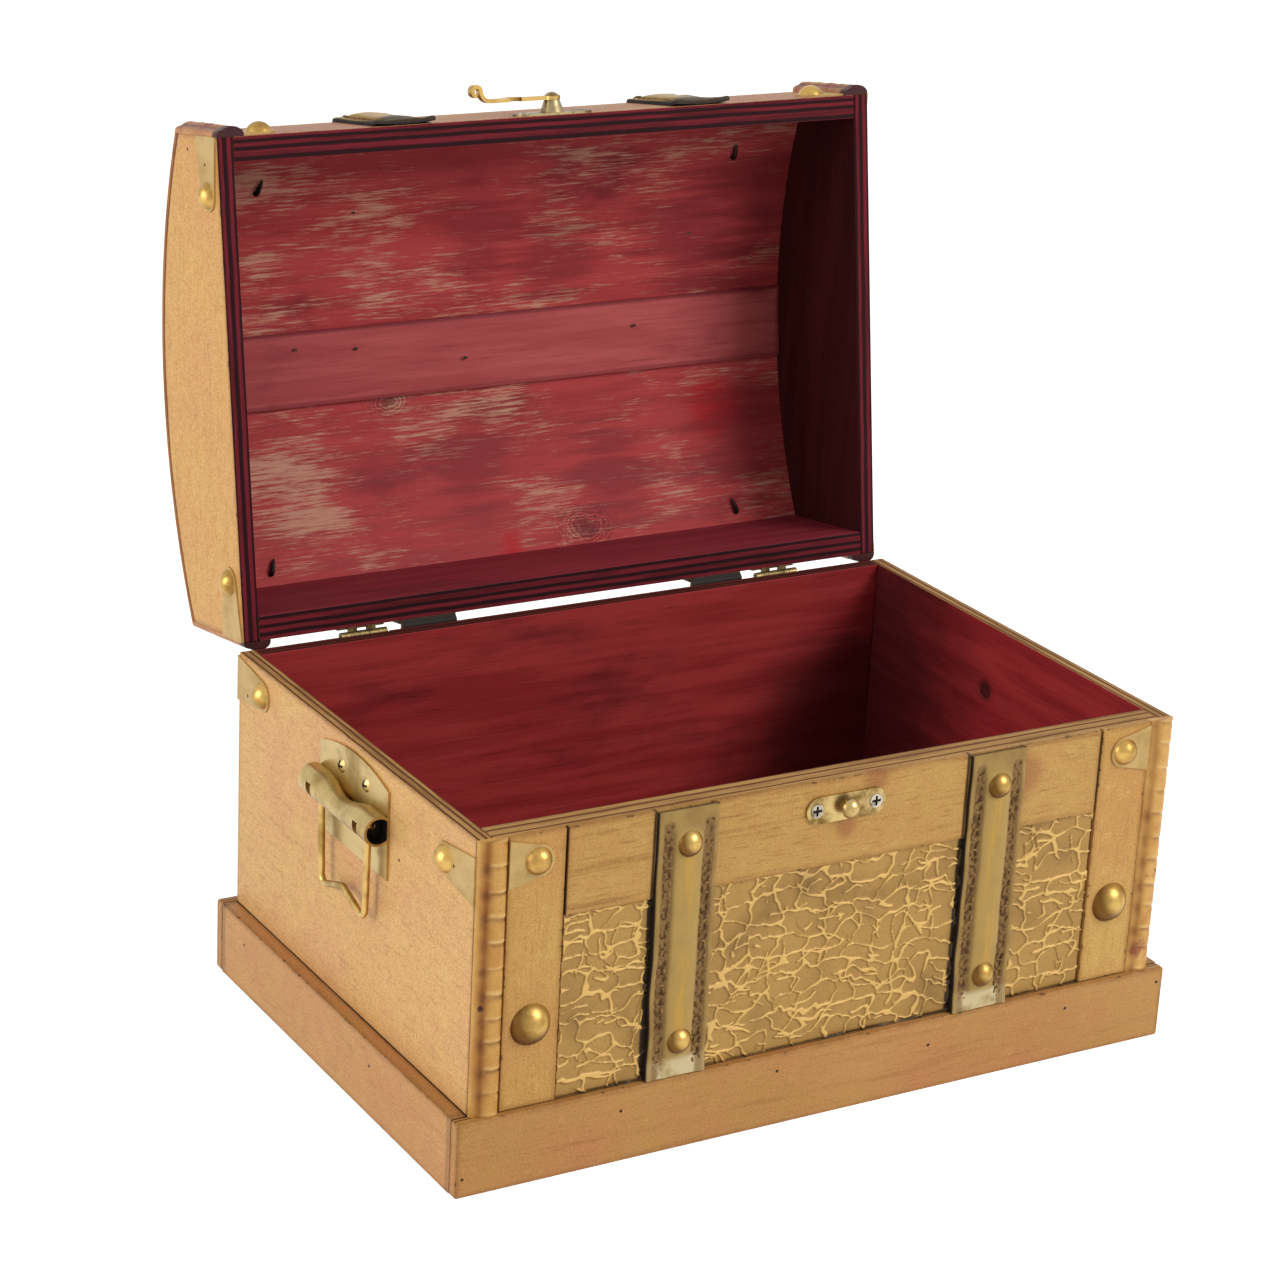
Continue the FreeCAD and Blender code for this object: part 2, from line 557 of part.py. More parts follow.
dome_outside = dome_bar("dome_radius")
dome_inside = dome_bar("dome_radius - sheet_thickness")
lid_inner = "lid_length - 2 * lid_end_wall"
envelope_box = box(("lid_length", "lid_depth", "crown_height"), ("-half_lid", "lid_front", "lid_rim"))
envelope = meet(envelope_box, dome_outside)
piece("lid_dome_sheet", cut(envelope, dome_inside), within=LID)
for side, x in (("left", "-half_lid"), ("right", "half_lid - lid_end_wall")):
    board = box(("lid_end_wall", "lid_depth", "crown_height"), (x, "lid_front", "lid_rim"))
    piece("lid_%s_end" % side, meet(board, dome_inside), within=LID)
for side, y in (("front", "lid_front"), ("back", "lid_back - lid_wall")):
    board = box((lid_inner, "lid_wall", "crown_height"), ("lid_end_wall - half_lid", y, "lid_rim"))
    piece("lid_%s_board" % side, meet(board, dome_inside), within=LID)
batten_corner = ("lid_end_wall - half_lid", "lid_middle + batten_offset - batten_width / 2", "lid_rim")
batten_block = box((lid_inner, "batten_width", "crown_height"), batten_corner)
batten_under = dome_bar("dome_radius - sheet_thickness - batten_thickness")
piece("lid_crown_batten", cut(meet(batten_block, dome_inside), batten_under), within=LID)

# Beads on the four upright corners of the lid
for side, x in (("left", "-half_lid"), ("right", "half_lid - bead_width")):
    front_bead = bead(x, "lid_front", "lid_rim", "front_edge - lid_rim", "-y")
    back_bead = bead(x, "lid_back", "lid_rim", "back_edge - lid_rim", "y")
    piece("lid_front_%s_bead" % side, front_bead, within=LID)
    piece("lid_back_%s_bead" % side, back_bead, within=LID)

# Straps over the lid, from the front board over the dome to the back board
for side, sign in (("left", -1), ("right", 1)):
    lengths = ("strap_width", "lid_depth + 2 * strap_thickness", "crown_height + strap_thickness")
    corner = ("%d * strap_spread - strap_width / 2" % sign, "lid_front - strap_thickness", "lid_rim")
    over = meet(box(lengths, corner), dome_bar("dome_radius + strap_thickness"))
    piece("lid_%s_strap" % side, cut(over, envelope), within=LID)

# Corner plates of the lid, with their nails
lid_plate_z = "lid_rim + lid_plate_rise"
end_plates = []
front_plates = []
nails = []
for turn in ("left_front", "left_back", "right_front", "right_back"):
    x = "-half_lid" if turn.startswith("left") else "half_lid"
    y = "lid_front" if turn.endswith("front") else "lid_back"
    plate, nail = corner_plate((x, y, lid_plate_z), turn, 0, "lid_end_nail_inset", WORLD)
    end_plates.append(plate)
    nails.append(nail)
for turn, x in (("front_left", "-half_lid"), ("front_right", "half_lid")):
    corner = (x, "lid_front", lid_plate_z)
    plate, nail = corner_plate(corner, turn, "bead_width", "lid_front_nail_inset", WORLD)
    front_plates.append(plate)
    nails.append(nail)
piece("lid_end_plates", group(end_plates), len(end_plates), LID)
piece("lid_front_plates", group(front_plates), len(front_plates), LID)
piece("lid_corner_nails", group(nails), len(nails), LID)

# Large nails on the dome, with their feet hollowed to its round
nails = []
for sign in (-1, 1):
    for offset in ("-dome_nail_front", "dome_nail_back"):
        tilt = "-asin((%s) / dome_radius)" % offset
        seat = frame(("%d * dome_nail_spread" % sign, "dome_y", "dome_z"), (1, 0, 0), tilt)
        foot = (0, 0, "dome_radius - dome_nail_sink")
        head = dome("stile_nail_diameter", "stile_nail_rise", foot, "z", seat)
        nails.append(cut(head, dome_outside))
piece("dome_nails", group(nails), len(nails), LID)

# The hook's plate with its boss, its rivet and its screws
boss_foot = (0, "clasp_plate_thickness", 0)
boss = cone("boss_base_diameter / 2", "boss_top_diameter / 2", "boss_height", boss_foot, "y")
piece("hook_plate", join(clasp_plate(WORLD), boss), within=HOOK)
shank = rod("rivet_diameter / 2", "hook_thickness + 2 * hook_pivot_gap", (0, "boss_top", 0), "y")
rivet_head = dome("rivet_head_diameter", "rivet_head_rise", (0, "hook_face + hook_pivot_gap", 0), "y")
piece("hook_rivet", join(shank, rivet_head), within=HOOK)
piece("hook_screws", clasp_screws(WORLD), 2, within=HOOK)

# The hook: eye, arm, a mouth that goes round the keeper post, and a curled end
ring_outer = "mouth_radius + hook_width"
half_width = "hook_width / 2"
eye = rod("hook_eye_diameter / 2", "hook_thickness", (0, "hook_foot", 0), "y")
near_size = ("hook_reach - mouth_radius", "hook_thickness", "hook_width")
near_arm = box(near_size, (0, "hook_foot", "-" + half_width))
far_length = "hook_arm_length - hook_reach - mouth_radius"
far_corner = ("hook_reach + mouth_radius", "hook_foot", "-" + half_width)
far_arm = box((far_length, "hook_thickness", "hook_width"), far_corner)
ring = rod(ring_outer, "hook_thickness", ("hook_reach", "hook_foot", 0), "y")
ring_top_corner = ("hook_reach - (%s)" % ring_outer, "hook_foot", 0)
ring_top = box(("2 * (%s)" % ring_outer, "hook_thickness", ring_outer), ring_top_corner)
mouth = rod("mouth_radius", "hook_thickness", ("hook_reach", "hook_foot", 0), "y")
mouth_corner = ("hook_reach - mouth_radius", "hook_foot", "-hook_width")
mouth_way = box(("2 * mouth_radius", "hook_thickness", "hook_width"), mouth_corner)
eye_bore = rod("rivet_diameter / 2 + hook_pivot_gap", "hook_thickness", (0, "hook_foot", 0), "y")
bend_outer = "(hook_bend_radius + hook_thickness)"
curl_outer = "(hook_curl_radius + hook_thickness)"
bend_out = "hook_foot + " + bend_outer
curl_x = "hook_arm_length + %s + hook_curl_radius" % bend_outer


def hoop(inside, middle):
    """A ring of the hook's metal, bent about an axis along its width."""
    foot = middle + ("-" + half_width,)
    disc = rod("%s + hook_thickness" % inside, "hook_width", foot, "z")
    return cut(disc, rod(inside, "hook_width", foot, "z"))


rise_corner = ("hook_arm_length", "hook_foot", "-" + half_width)
rise_room = box((bend_outer, bend_outer, "hook_width"), rise_corner)
rising = meet(hoop("hook_bend_radius", ("hook_arm_length", bend_out)), rise_room)
curl_ring = hoop("hook_curl_radius", (curl_x, bend_out))
gap_corner = ("%s - %s" % (curl_x, curl_outer), "%s - %s" % (bend_out, curl_outer), "-" + half_width)
curled = cut(curl_ring, box((curl_outer, curl_outer, "hook_width"), gap_corner))
blank = join(eye, near_arm, far_arm, meet(ring, ring_top), rising, curled)
piece("latch_hook", cut(blank, join(mouth, mouth_way, eye_bore)), within=HOOK)


# Drop handles: stamped plate with its barrel, screws and bail

def rounded_path(points, bends):
    """A wire of straight runs joined by tangent arcs, with one bend radius for each inner point."""
    edges = []
    start = points[0]
    for before, corner, after, bend in zip(points, points[1:], points[2:], bends):
        into = (corner - before).normalize()
        away = (after - corner).normalize()
        turn = into.getAngle(away)
        reach = bend * math.tan(turn / 2)
        first = corner - into * reach
        last = corner + away * reach
        inward = (away - into).normalize()
        middle = corner + inward * (bend / math.cos(turn / 2) - bend)
        edges.append(Part.LineSegment(start, first).toShape())
        edges.append(Part.Arc(first, middle, last).toShape())
        start = last
    edges.append(Part.LineSegment(start, points[-1]).toShape())
    return Part.Wire(edges)


def bail_shape():
    """The bail's wire: two pivots, two legs and a foot that rises to its middle."""
    out = size("barrel_out")
    top = size("barrel_z")
    foot = top - size("bail_drop")
    leg = size("bail_top_width") / 2
    toe = size("bail_foot_width") / 2
    end = leg - size("bail_pivot_length")
    outline = [(end, top), (leg, top), (toe, foot), (0, foot + size("bail_peak"))]
    outline += [(-y, z) for y, z in reversed(outline[:-1])]
    corners = [FreeCAD.Vector(out, y, z) for y, z in outline]
    foot_bends = [size("bail_bend")] * 3
    path = rounded_path(corners, [size("bail_pivot_bend")] + foot_bends + [size("bail_pivot_bend")])
    ring = Part.makeCircle(size("bail_wire_radius"), FreeCAD.Vector(out, end, top), FreeCAD.Vector(0, 1, 0))
    return path.makePipeShell([Part.Wire([ring])], True, False)


def barrel_shape():
    """The barrel before its cuts: round ends, and a waist that dips on top while its lower front stays straight."""
    half = size("handle_plate_width") / 2
    shoulder = half - size("barrel_shoulder")
    rings = []
    for step in range(-6, 7):
        y = half * step / 6
        dip = max(0.0, 1 - abs(y) / shoulder)
        narrowing = (size("barrel_end_radius") - size("barrel_waist_radius")) * (1 - math.cos(math.pi * dip)) / 2
        shift = narrowing / math.sqrt(2)
        middle = FreeCAD.Vector(size("barrel_out") + shift, y, size("barrel_z") - shift)
        circle = Part.makeCircle(size("barrel_end_radius") - narrowing, middle, FreeCAD.Vector(0, 1, 0))
        rings.append(Part.Wire([circle]))
    return Part.makeLoft(rings, True)


half_plate = "handle_plate_width / 2"
slot_reach = "barrel_end_radius + slot_half"
handle_screws = []
for side, seat in HANDLES.items():
    arch_z = "handle_foot + handle_plate_height - arch_radius"
    blank_size = ("handle_plate_thickness", "handle_plate_width", "handle_plate_height")
    blank = box(blank_size, (0, "-" + half_plate, "handle_foot"))
    plate = meet(blank, rod("arch_radius", "handle_plate_thickness", (0, 0, arch_z), "x"))
    core = doc.addObject("Part::Feature", "barrel_core")
    core.Shape = barrel_shape()
    room_size = ("barrel_out + 2 * barrel_end_radius", "2 * handle_plate_width", "4 * barrel_end_radius")
    room = box(room_size, (0, "-handle_plate_width", "barrel_z - 2 * barrel_end_radius"))
    cutters = [rod("bail_bore", "handle_plate_width", ("barrel_out", "-" + half_plate, "barrel_z"), "y")]
    slot_size = ("slot_half + (%s)" % slot_reach, "slot_width", "slot_half + (%s)" % slot_reach)
    leg_outside = "(bail_top_width / 2 + slot_half)"
    near_end = ("y", "-" + half_plate, "-" + leg_outside)
    far_end = ("-y", half_plate, leg_outside + " - slot_width")
    for way, end_y, slot_y in (near_end, far_end):
        end_middle = ("barrel_out", end_y, "barrel_z")
        cutters.append(rod("barrel_mouth_radius", "barrel_mouth_depth", end_middle, way))
        cutters.append(box(slot_size, ("barrel_out - slot_half", slot_y, "barrel_z - (%s)" % slot_reach)))
    barrel = cut(meet(core, room), join(*cutters))
    piece("%s_handle_plate" % side, join(plate, barrel), within=seat)
    bail = doc.addObject("Part::Feature", "bail")
    bail.Shape = bail_shape()
    piece("%s_bail" % side, bail, within=seat)
    for sign in (-1, 1):
        y = "%d * handle_screw_spacing / 2" % sign
        spot = ("handle_plate_thickness", y, "handle_foot + handle_screw_height")
        handle_screws.append(screw("handle_screw_diameter", "handle_screw_rise", spot, "x", seat))
piece("handle_screws", group(handle_screws), len(handle_screws))

# Leather that joins the back straps of the box and the lid across the hinge line
opening = math.radians(size("open_angle"))


def carried(y, z):
    """A point of the closed lid's section, carried to where the lid stands open."""
    swung_y = y * math.cos(opening) + z * math.sin(opening)
    swung_z = z * math.cos(opening) - y * math.sin(opening)
    return size("pin_y") + swung_y, size("pin_z") + swung_z


strap_top = size("body_height") - size("bridge_reach")
back_face = size("half_depth")
strap_back = back_face + size("strap_thickness")
rim = size("lid_rim")
lid_inner_end = carried(size("lid_back"), rim)
lid_outer_end = carried(size("lid_back") + size("strap_thickness"), rim)
section = [(back_face, strap_top), (back_face, size("body_height"))]
section += [lid_inner_end, lid_outer_end, (strap_back, strap_top)]
bridges = []
for sign in (-1, 1):
    left = sign * size("strap_spread") - size("strap_width") / 2
    corners = [FreeCAD.Vector(left, y, z) for y, z in section]
    face = Part.Face(Part.makePolygon(corners + corners[:1]))
    bridges.append(face.extrude(FreeCAD.Vector(size("strap_width"), 0, 0)))
bridge = doc.addObject("Part::Feature", "bridge")
bridge.Shape = Part.makeCompound(bridges)
piece("strap_bridges", bridge, len(bridges))

# Everything has to be sound before a file is written
doc.recompute()
for thing in doc.Objects:
    if "Invalid" in thing.State or "Error" in thing.State:
        raise RuntimeError("%s (%s) failed: %s" % (thing.Name, thing.Label, thing.State))
for thing, solids in pieces:
    if thing.Shape.isNull() or not thing.Shape.isValid():
        raise RuntimeError("%s has no valid shape" % thing.Label)
    if len(thing.Shape.Solids) != solids:
        raise RuntimeError("%s has %d solids, not %d" % (thing.Label, len(thing.Shape.Solids), solids))

os.makedirs("parts", exist_ok=True)
for thing, solids in pieces:
    thing.Shape.exportStep(os.path.join("parts", thing.Label + ".step"))
    print("%-26s %2d solids %10.1f mm3" % (thing.Label, solids, thing.Shape.Volume))
print(len(pieces), "sub-parts")
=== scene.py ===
"""Looks of a treasure chest box: gold paint outside, red stain inside, leather straps and brass.

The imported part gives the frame, in metres. Sizes here are in millimetres, in that same frame.
"""

from __future__ import annotations

import logging
import math
from collections.abc import Sequence
from dataclasses import dataclass, field, replace
from enum import Enum

import bmesh
import bpy
import numpy as np
from mathutils import Matrix, Vector


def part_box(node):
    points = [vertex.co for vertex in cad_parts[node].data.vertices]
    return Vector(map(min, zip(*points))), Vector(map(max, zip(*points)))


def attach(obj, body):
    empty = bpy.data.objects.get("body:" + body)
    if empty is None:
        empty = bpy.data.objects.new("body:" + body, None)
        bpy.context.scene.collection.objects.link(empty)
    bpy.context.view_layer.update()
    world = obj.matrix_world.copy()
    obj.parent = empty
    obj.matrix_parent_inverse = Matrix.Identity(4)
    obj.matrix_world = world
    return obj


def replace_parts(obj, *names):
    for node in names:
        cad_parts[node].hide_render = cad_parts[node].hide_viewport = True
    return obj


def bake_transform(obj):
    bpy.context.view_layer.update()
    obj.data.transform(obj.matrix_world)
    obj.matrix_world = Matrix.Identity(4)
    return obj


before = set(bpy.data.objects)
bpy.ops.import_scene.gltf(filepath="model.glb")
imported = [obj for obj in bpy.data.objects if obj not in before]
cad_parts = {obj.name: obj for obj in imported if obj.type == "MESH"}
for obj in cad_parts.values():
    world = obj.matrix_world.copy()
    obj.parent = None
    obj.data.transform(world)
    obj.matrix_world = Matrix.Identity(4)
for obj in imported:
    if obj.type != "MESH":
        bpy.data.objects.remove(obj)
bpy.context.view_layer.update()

MM = 0.001
LOG = logging.getLogger("treasure_chest")

Colour = tuple[float, float, float, float]
Triple = tuple[float, float, float]
Mesh = tuple[np.ndarray, list[tuple[int, ...]]]
Outline = list[tuple[float, float]]
Marks = dict[str, list[float]]

# The hinge line and how far the lid stands open
PIN_Y = 96.4
PIN_Z = 129.5
OPENING = math.radians(99.0)
LID_ALONG = Vector((0.0, math.cos(OPENING), -math.sin(OPENING)))
LID_UP = Vector((0.0, math.sin(OPENING), math.cos(OPENING)))

# The round of the dome, measured from the hinge line with the lid closed
DOME_ALONG = -84.4
DOME_UP = -165.2
DOME_OUTSIDE = 230.0
DOME_INSIDE = 228.0

FRONT = Vector((0.0, -1.0, 0.0))
BACK = Vector((0.0, 1.0, 0.0))
LEFT = Vector((-1.0, 0.0, 0.0))
RIGHT = Vector((1.0, 0.0, 0.0))
UP = Vector((0.0, 0.0, 1.0))

# How a board's edges are rounded: points this close are joined, and edges this sharp are taken off
WELD_GAP = 0.01
SHARP_EDGE = 40.0


class Body(Enum):
    """The moving bodies of the chest."""

    CHEST = "chest"
    LID = "lid"


class Slot(Enum):
    """The record's material slots."""

    GOLD = "gold_wood"
    LEATHER = "leather"
    EMBOSSED = "embossed_sheet"
    BRASS = "antique_brass"


class Axis(Enum):
    """The direction that the grain of a board runs in."""

    X = (1.0, 0.0, 0.0)
    Y = (0.0, 1.0, 0.0)
    Z = (0.0, 0.0, 1.0)


def tint(red: int, green: int, blue: int) -> Colour:
    """The shader's colour for a red, green and blue of 0 to 255.

    Args:
        red: red part.
        green: green part.
        blue: blue part.

    Returns:
        The linear colour with full alpha.
    """
    parts = []
    for part in (red, green, blue):
        share = part / 255.0
        parts.append(share / 12.92 if share <= 0.04045 else ((share + 0.055) / 1.055) ** 2.4)
    return (parts[0], parts[1], parts[2], 1.0)


def lid_point(x: float, along: float, up: float) -> Triple:
    """A point of the closed lid, carried to where the lid stands open.

    Args:
        x: left to right.
        along: behind the hinge pin, with the lid closed.
        up: above the hinge pin, with the lid closed.

    Returns:
        The point in the frame.
    """
    spot = float(along) * LID_ALONG + float(up) * LID_UP
    return (x, PIN_Y + spot.y, PIN_Z + spot.z)


def under_dome(x: float, along: float) -> Triple:
    """A point on the inside of the dome, where the lid stands open.

    Args:
        x: left to right.
        along: behind the hinge pin, with the lid closed.

    Returns:
        The point in the frame.
    """
    return lid_point(x, along, DOME_UP + math.sqrt(DOME_INSIDE**2 - (along - DOME_ALONG) ** 2))


class Ripple:
    """Smooth, repeatable unevenness made of a few waves."""

    def __init__(self, seed: int, reach: float, waves: int = 7) -> None:
        """Draws the waves.

        Args:
            seed: start of the random draws.
            reach: usual length of a wave.
            waves: how many waves are summed.
        """
        draw = np.random.default_rng(seed)
        lengths = reach * draw.uniform(0.6, 1.7, waves)
        turns = draw.uniform(0.0, 2.0 * math.pi, waves)
        self.pull = 2.0 * math.pi / lengths * np.array([np.cos(turns), np.sin(turns)])
        self.start = draw.uniform(0.0, 2.0 * math.pi, waves)

    def at(self, across: np.ndarray | float, along: np.ndarray | float) -> np.ndarray:
        """The height of the waves, about -1 to 1.

        Args:
            across: first coordinate.
            along: second coordinate.

        Returns:
            One height for each point.
        """
        spots = np.stack(np.broadcast_arrays(np.asarray(across, float), np.asarray(along, float)), axis=-1)
        return np.sin(spots @ self.pull + self.start).sum(axis=-1) / math.sqrt(len(self.start) / 2.0)


def ease(values: np.ndarray, low: float, high: float) -> np.ndarray:
    """A smooth step from 0 at low to 1 at high.

    Args:
        values: what is stepped.
        low: where the step starts.
        high: where the step ends.

    Returns:
        The step for each value.
    """
    share = np.clip((values - low) / (high - low), 0.0, 1.0)
    return share * share * (3.0 - 2.0 * share)


def loft(rings: np.ndarray) -> Mesh:
    """Joins rings of points into a closed skin.

    Args:
        rings: stations by points around by three.

    Returns:
        The points and faces.
    """
    stations, around, _ = rings.shape
    faces: list[tuple[int, ...]] = []
    for station in range(stations - 1):
        low = station * around
        high = low + around
        for step in range(around):
            turn = (step + 1) % around
            faces.append((low + step, low + turn, high + turn, high + step))
    faces.append(tuple(reversed(range(around))))
    faces.append(tuple(range((stations - 1) * around, stations * around)))
    return rings.reshape(-1, 3), faces


def merge(meshes: Sequence[Mesh]) -> Mesh:
    """Puts several meshes into one.

    Args:
        meshes: the points and faces of each.

    Returns:
        All points and faces.
    """
    points = []
    faces: list[tuple[int, ...]] = []
    count = 0
    for own_points, own_faces in meshes:
        points.append(own_points)
        faces.extend(tuple(corner + count for corner in face) for face in own_faces)
        count += len(own_points)
    return np.concatenate(points), faces


def pebble(middle: Triple, axes: Sequence[Vector], around: int = 8, levels: int = 5) -> Mesh:
    """A rounded lump.

    Args:
        middle: its centre.
        axes: its three half lengths, as directions.
        around: points round its waist.
        levels: rings from end to end.

    Returns:
        The points and faces.
    """
    rings = []
    for level in range(levels):
        rise = math.pi * (level + 0.5) / levels
        ring = []
        for step in range(around):
            turn = 2.0 * math.pi * step / around
            spot = Vector(middle) - math.cos(rise) * axes[0]
            spot += math.sin(rise) * (math.cos(turn) * axes[1] + math.sin(turn) * axes[2])
            ring.append(tuple(spot))
        rings.append(ring)
    return loft(np.array(rings))


def tube(path: Sequence[Vector], radii: Sequence[float], side: Vector, around: int = 8) -> Mesh:
    """A round rod along a path that lies square to a side direction.

    Args:
        path: points along the middle.
        radii: radius at each point.
        side: a direction square to the path.
        around: points round the rod.

    Returns:
        The points and faces.
    """
    rings = []
    last = len(path) - 1
    for step, (middle, radius) in enumerate(zip(path, radii)):
        run = (path[min(step + 1, last)] - path[max(step - 1, 0)]).normalized()
        up = run.cross(side).normalized()
        ring = []
        for corner in range(around):
            turn = 2.0 * math.pi * corner / around
            ring.append(tuple(middle + radius * (math.cos(turn) * side + math.sin(turn) * up)))
        rings.append(ring)
    return loft(np.array(rings))


def add_piece(
    name: str,
    shape: Mesh,
    body: Body | None,
    material: bpy.types.Material,
    smooth: float = 50.0,
    marks: dict[str, np.ndarray] | None = None,
) -> bpy.types.Object:
    """Makes a mesh piece that rides on a body.

    Args:
        name: the piece's name.
        shape: its points in millimetres, and its faces.
        body: the body that carries it, or None for a piece that joins two bodies and rides on neither.
        material: its finish.
        smooth: edges sharper than this many degrees stay crisp.
        marks: named values, one for each point, that the finish reads.

    Returns:
        The new object.
    """
    points, faces = shape
    mesh = bpy.data.meshes.new(name)
    mesh.from_pydata([tuple(point) for point in points * MM], [], faces)
    work = bmesh.new()
    work.from_mesh(mesh)
    bmesh.ops.recalc_face_normals(work, faces=work.faces)
    work.to_mesh(mesh)
    work.free()
    for mark, values in (marks or {}).items():
        mesh.attributes.new(mark, "FLOAT", "POINT").data.foreach_set("value", values.astype(np.float32))
    mesh.shade_smooth()
    mesh.set_sharp_from_angle(angle=math.radians(smooth))
    mesh.materials.append(material)
    piece = bpy.data.objects.new(name, mesh)
    bpy.context.scene.collection.objects.link(piece)
    if body is not None:
        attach(piece, body.value)
    LOG.info("%s rides on %s", name, body.value if body else "two bodies")
    return piece


class Graph:
    """The nodes of a material or world, with short calls for the kinds used here."""

    def __init__(self, name: str, on_world: bool = False) -> None:
        """Starts an empty material or world.

        Args:
            name: its name.
            on_world: whether it is a world.
        """
        self.owner = bpy.data.worlds.new(name) if on_world else bpy.data.materials.new(name)
        self.owner.use_nodes = True
        self.tree = self.owner.node_tree
        self.tree.nodes.clear()

    def add(self, kind: str, inputs: dict[int | str, object], **settings: object) -> bpy.types.Node:
        """Adds a node.

        Args:
            kind: the node's type, without its common prefix.
            inputs: socket to constant, or to another node's output.
            settings: the node's own properties.

        Returns:
            The node.
        """
        node = self.tree.nodes.new("ShaderNode" + kind)
        for key, value in settings.items():
            setattr(node, key, value)
        for key, value in inputs.items():
            if isinstance(value, bpy.types.NodeSocket):
                self.tree.links.new(value, node.inputs[key])
            else:
                node.inputs[key].default_value = value
        return node

    def place(self) -> bpy.types.NodeSocket:
        """Where a point lies in the frame, in metres, with the chest at rest."""
        return self.add("TexCoord", {}).outputs["Object"]

    def closed_place(self) -> bpy.types.NodeSocket:
        """Where a point of the lid lies with the lid closed.

        Returns:
            The place, in metres.
        """
        pin = (0.0, PIN_Y * MM, PIN_Z * MM)
        inputs = {"Vector": self.place(), "Center": pin, "Angle": OPENING}
        return self.add("VectorRotate", inputs, rotation_type="X_AXIS").outputs[0]

    def vector(self, operation: str, first: object, second: object) -> bpy.types.Node:
        """A vector sum, product or the like."""
        return self.add("VectorMath", {0: first, 1: second}, operation=operation)

    def stretch(self, place: bpy.types.NodeSocket, scale: Triple) -> bpy.types.NodeSocket:
        """A place with each axis scaled."""
        return self.vector("MULTIPLY", place, scale).outputs[0]

    def split(self, place: bpy.types.NodeSocket) -> Sequence[bpy.types.NodeSocket]:
        """The three coordinates of a place."""
        return self.add("SeparateXYZ", {0: place}).outputs

    def math(self, operation: str, first: object, second: object = 0.0) -> bpy.types.NodeSocket:
        """A sum, product or the like of two numbers."""
        return self.add("Math", {0: first, 1: second}, operation=operation).outputs[0]

    def noise(
        self, place: bpy.types.NodeSocket, scale: float, detail: float = 3.0, rough: float = 0.55
    ) -> bpy.types.NodeSocket:
        """Cloudy noise of 0 to 1.

        Args:
            place: where it is read.
            scale: lumps to the metre.
            detail: how many finer layers it has.
            rough: weight of the finer layers.

        Returns:
            The noise.
        """
        inputs = {"Vector": place, "Scale": scale, "Detail": detail, "Roughness": rough}
        return self.add("TexNoise", inputs).outputs[0]

    def fade(
        self, value: bpy.types.NodeSocket, low: float, high: float, start: float = 0.0, end: float = 1.0
    ) -> bpy.types.NodeSocket:
        """A smooth step of a number.

        Args:
            value: what is stepped.
            low: where the step starts.
            high: where the step ends.
            start: result below low.
            end: result above high.

        Returns:
            The step.
        """
        inputs = {0: value, 1: low, 2: high, 3: start, 4: end}
        return self.add("MapRange", inputs, interpolation_type="SMOOTHSTEP").outputs[0]

    def mix(self, share: object, first: object, second: object) -> bpy.types.NodeSocket:
        """One colour laid over another.

        Args:
            share: how much of the second shows.
            first: the colour below.
            second: the colour above.

        Returns:
            The colour.
        """
        inputs = {0: share, 6: first, 7: second}
        return self.add("Mix", inputs, data_type="RGBA").outputs[2]

    def mark(self, name: str) -> bpy.types.NodeSocket:
        """The value that a mesh carries under a name."""
        return self.add("Attribute", {}, attribute_name=name).outputs["Fac"]

    def spot(
        self,
        place: bpy.types.NodeSocket,
        middle: Triple,
        radius: float,
        ragged: bpy.types.NodeSocket,
        wild: float = 1.0,
    ) -> bpy.types.NodeSocket:
        """A ragged spot, 1 at its middle.

        Args:
            place: where it is read, in metres.
            middle: its middle, in millimetres.
            radius: its reach, in millimetres.
            ragged: noise that eats into its edge.
            wild: how far the noise moves the edge, in radii.

        Returns:
            The strength of the spot.
        """
        core = tuple(part * MM for part in middle)
        away = self.vector("DISTANCE", place, core).outputs["Value"]
        worn = self.math("MULTIPLY_ADD", ragged, wild * radius * MM)
        worn.node.inputs[2].default_value = -0.5 * wild * radius * MM
        return self.fade(self.math("ADD", away, worn), 0.35 * radius * MM, radius * MM, 1.0, 0.0)

    def edge_distance(self, place: bpy.types.NodeSocket, low: Triple, high: Triple) -> bpy.types.NodeSocket:
        """How far a point on a board's face lies from the nearest edge of the board.

        Args:
            place: where it is read.
            low: the board's lowest corner, in metres.
            high: the board's highest corner, in metres.

        Returns:
            The distance in metres.
        """
        to_low = self.vector("SUBTRACT", place, low).outputs[0]
        to_high = self.vector("SUBTRACT", high, place).outputs[0]
        x, y, z = self.split(self.vector("MINIMUM", to_low, to_high).outputs[0])
        least = self.math("MINIMUM", self.math("MINIMUM", x, y), z)
        most = self.math("MAXIMUM", self.math("MAXIMUM", x, y), z)
        total = self.math("ADD", self.math("ADD", x, y), z)
        return self.math("SUBTRACT", self.math("SUBTRACT", total, least), most)

    def bump(self, height: bpy.types.NodeSocket, depth: float) -> bpy.types.NodeSocket:
        """A rough surface, with its depth in millimetres."""
        return self.add("Bump", {"Strength": 1.0, "Distance": depth * MM, "Height": height}).outputs[0]

    def surface(self, **sockets: object) -> bpy.types.Material:
        """Ends the material with a surface.

        Args:
            sockets: the surface's inputs, with underscores for spaces.

        Returns:
            The material.
        """
        inputs = {key.replace("_", " "): value for key, value in sockets.items()}
        shader = self.add("BsdfPrincipled", inputs)
        self.add("OutputMaterial", {"Surface": shader.outputs[0]})
        return self.owner


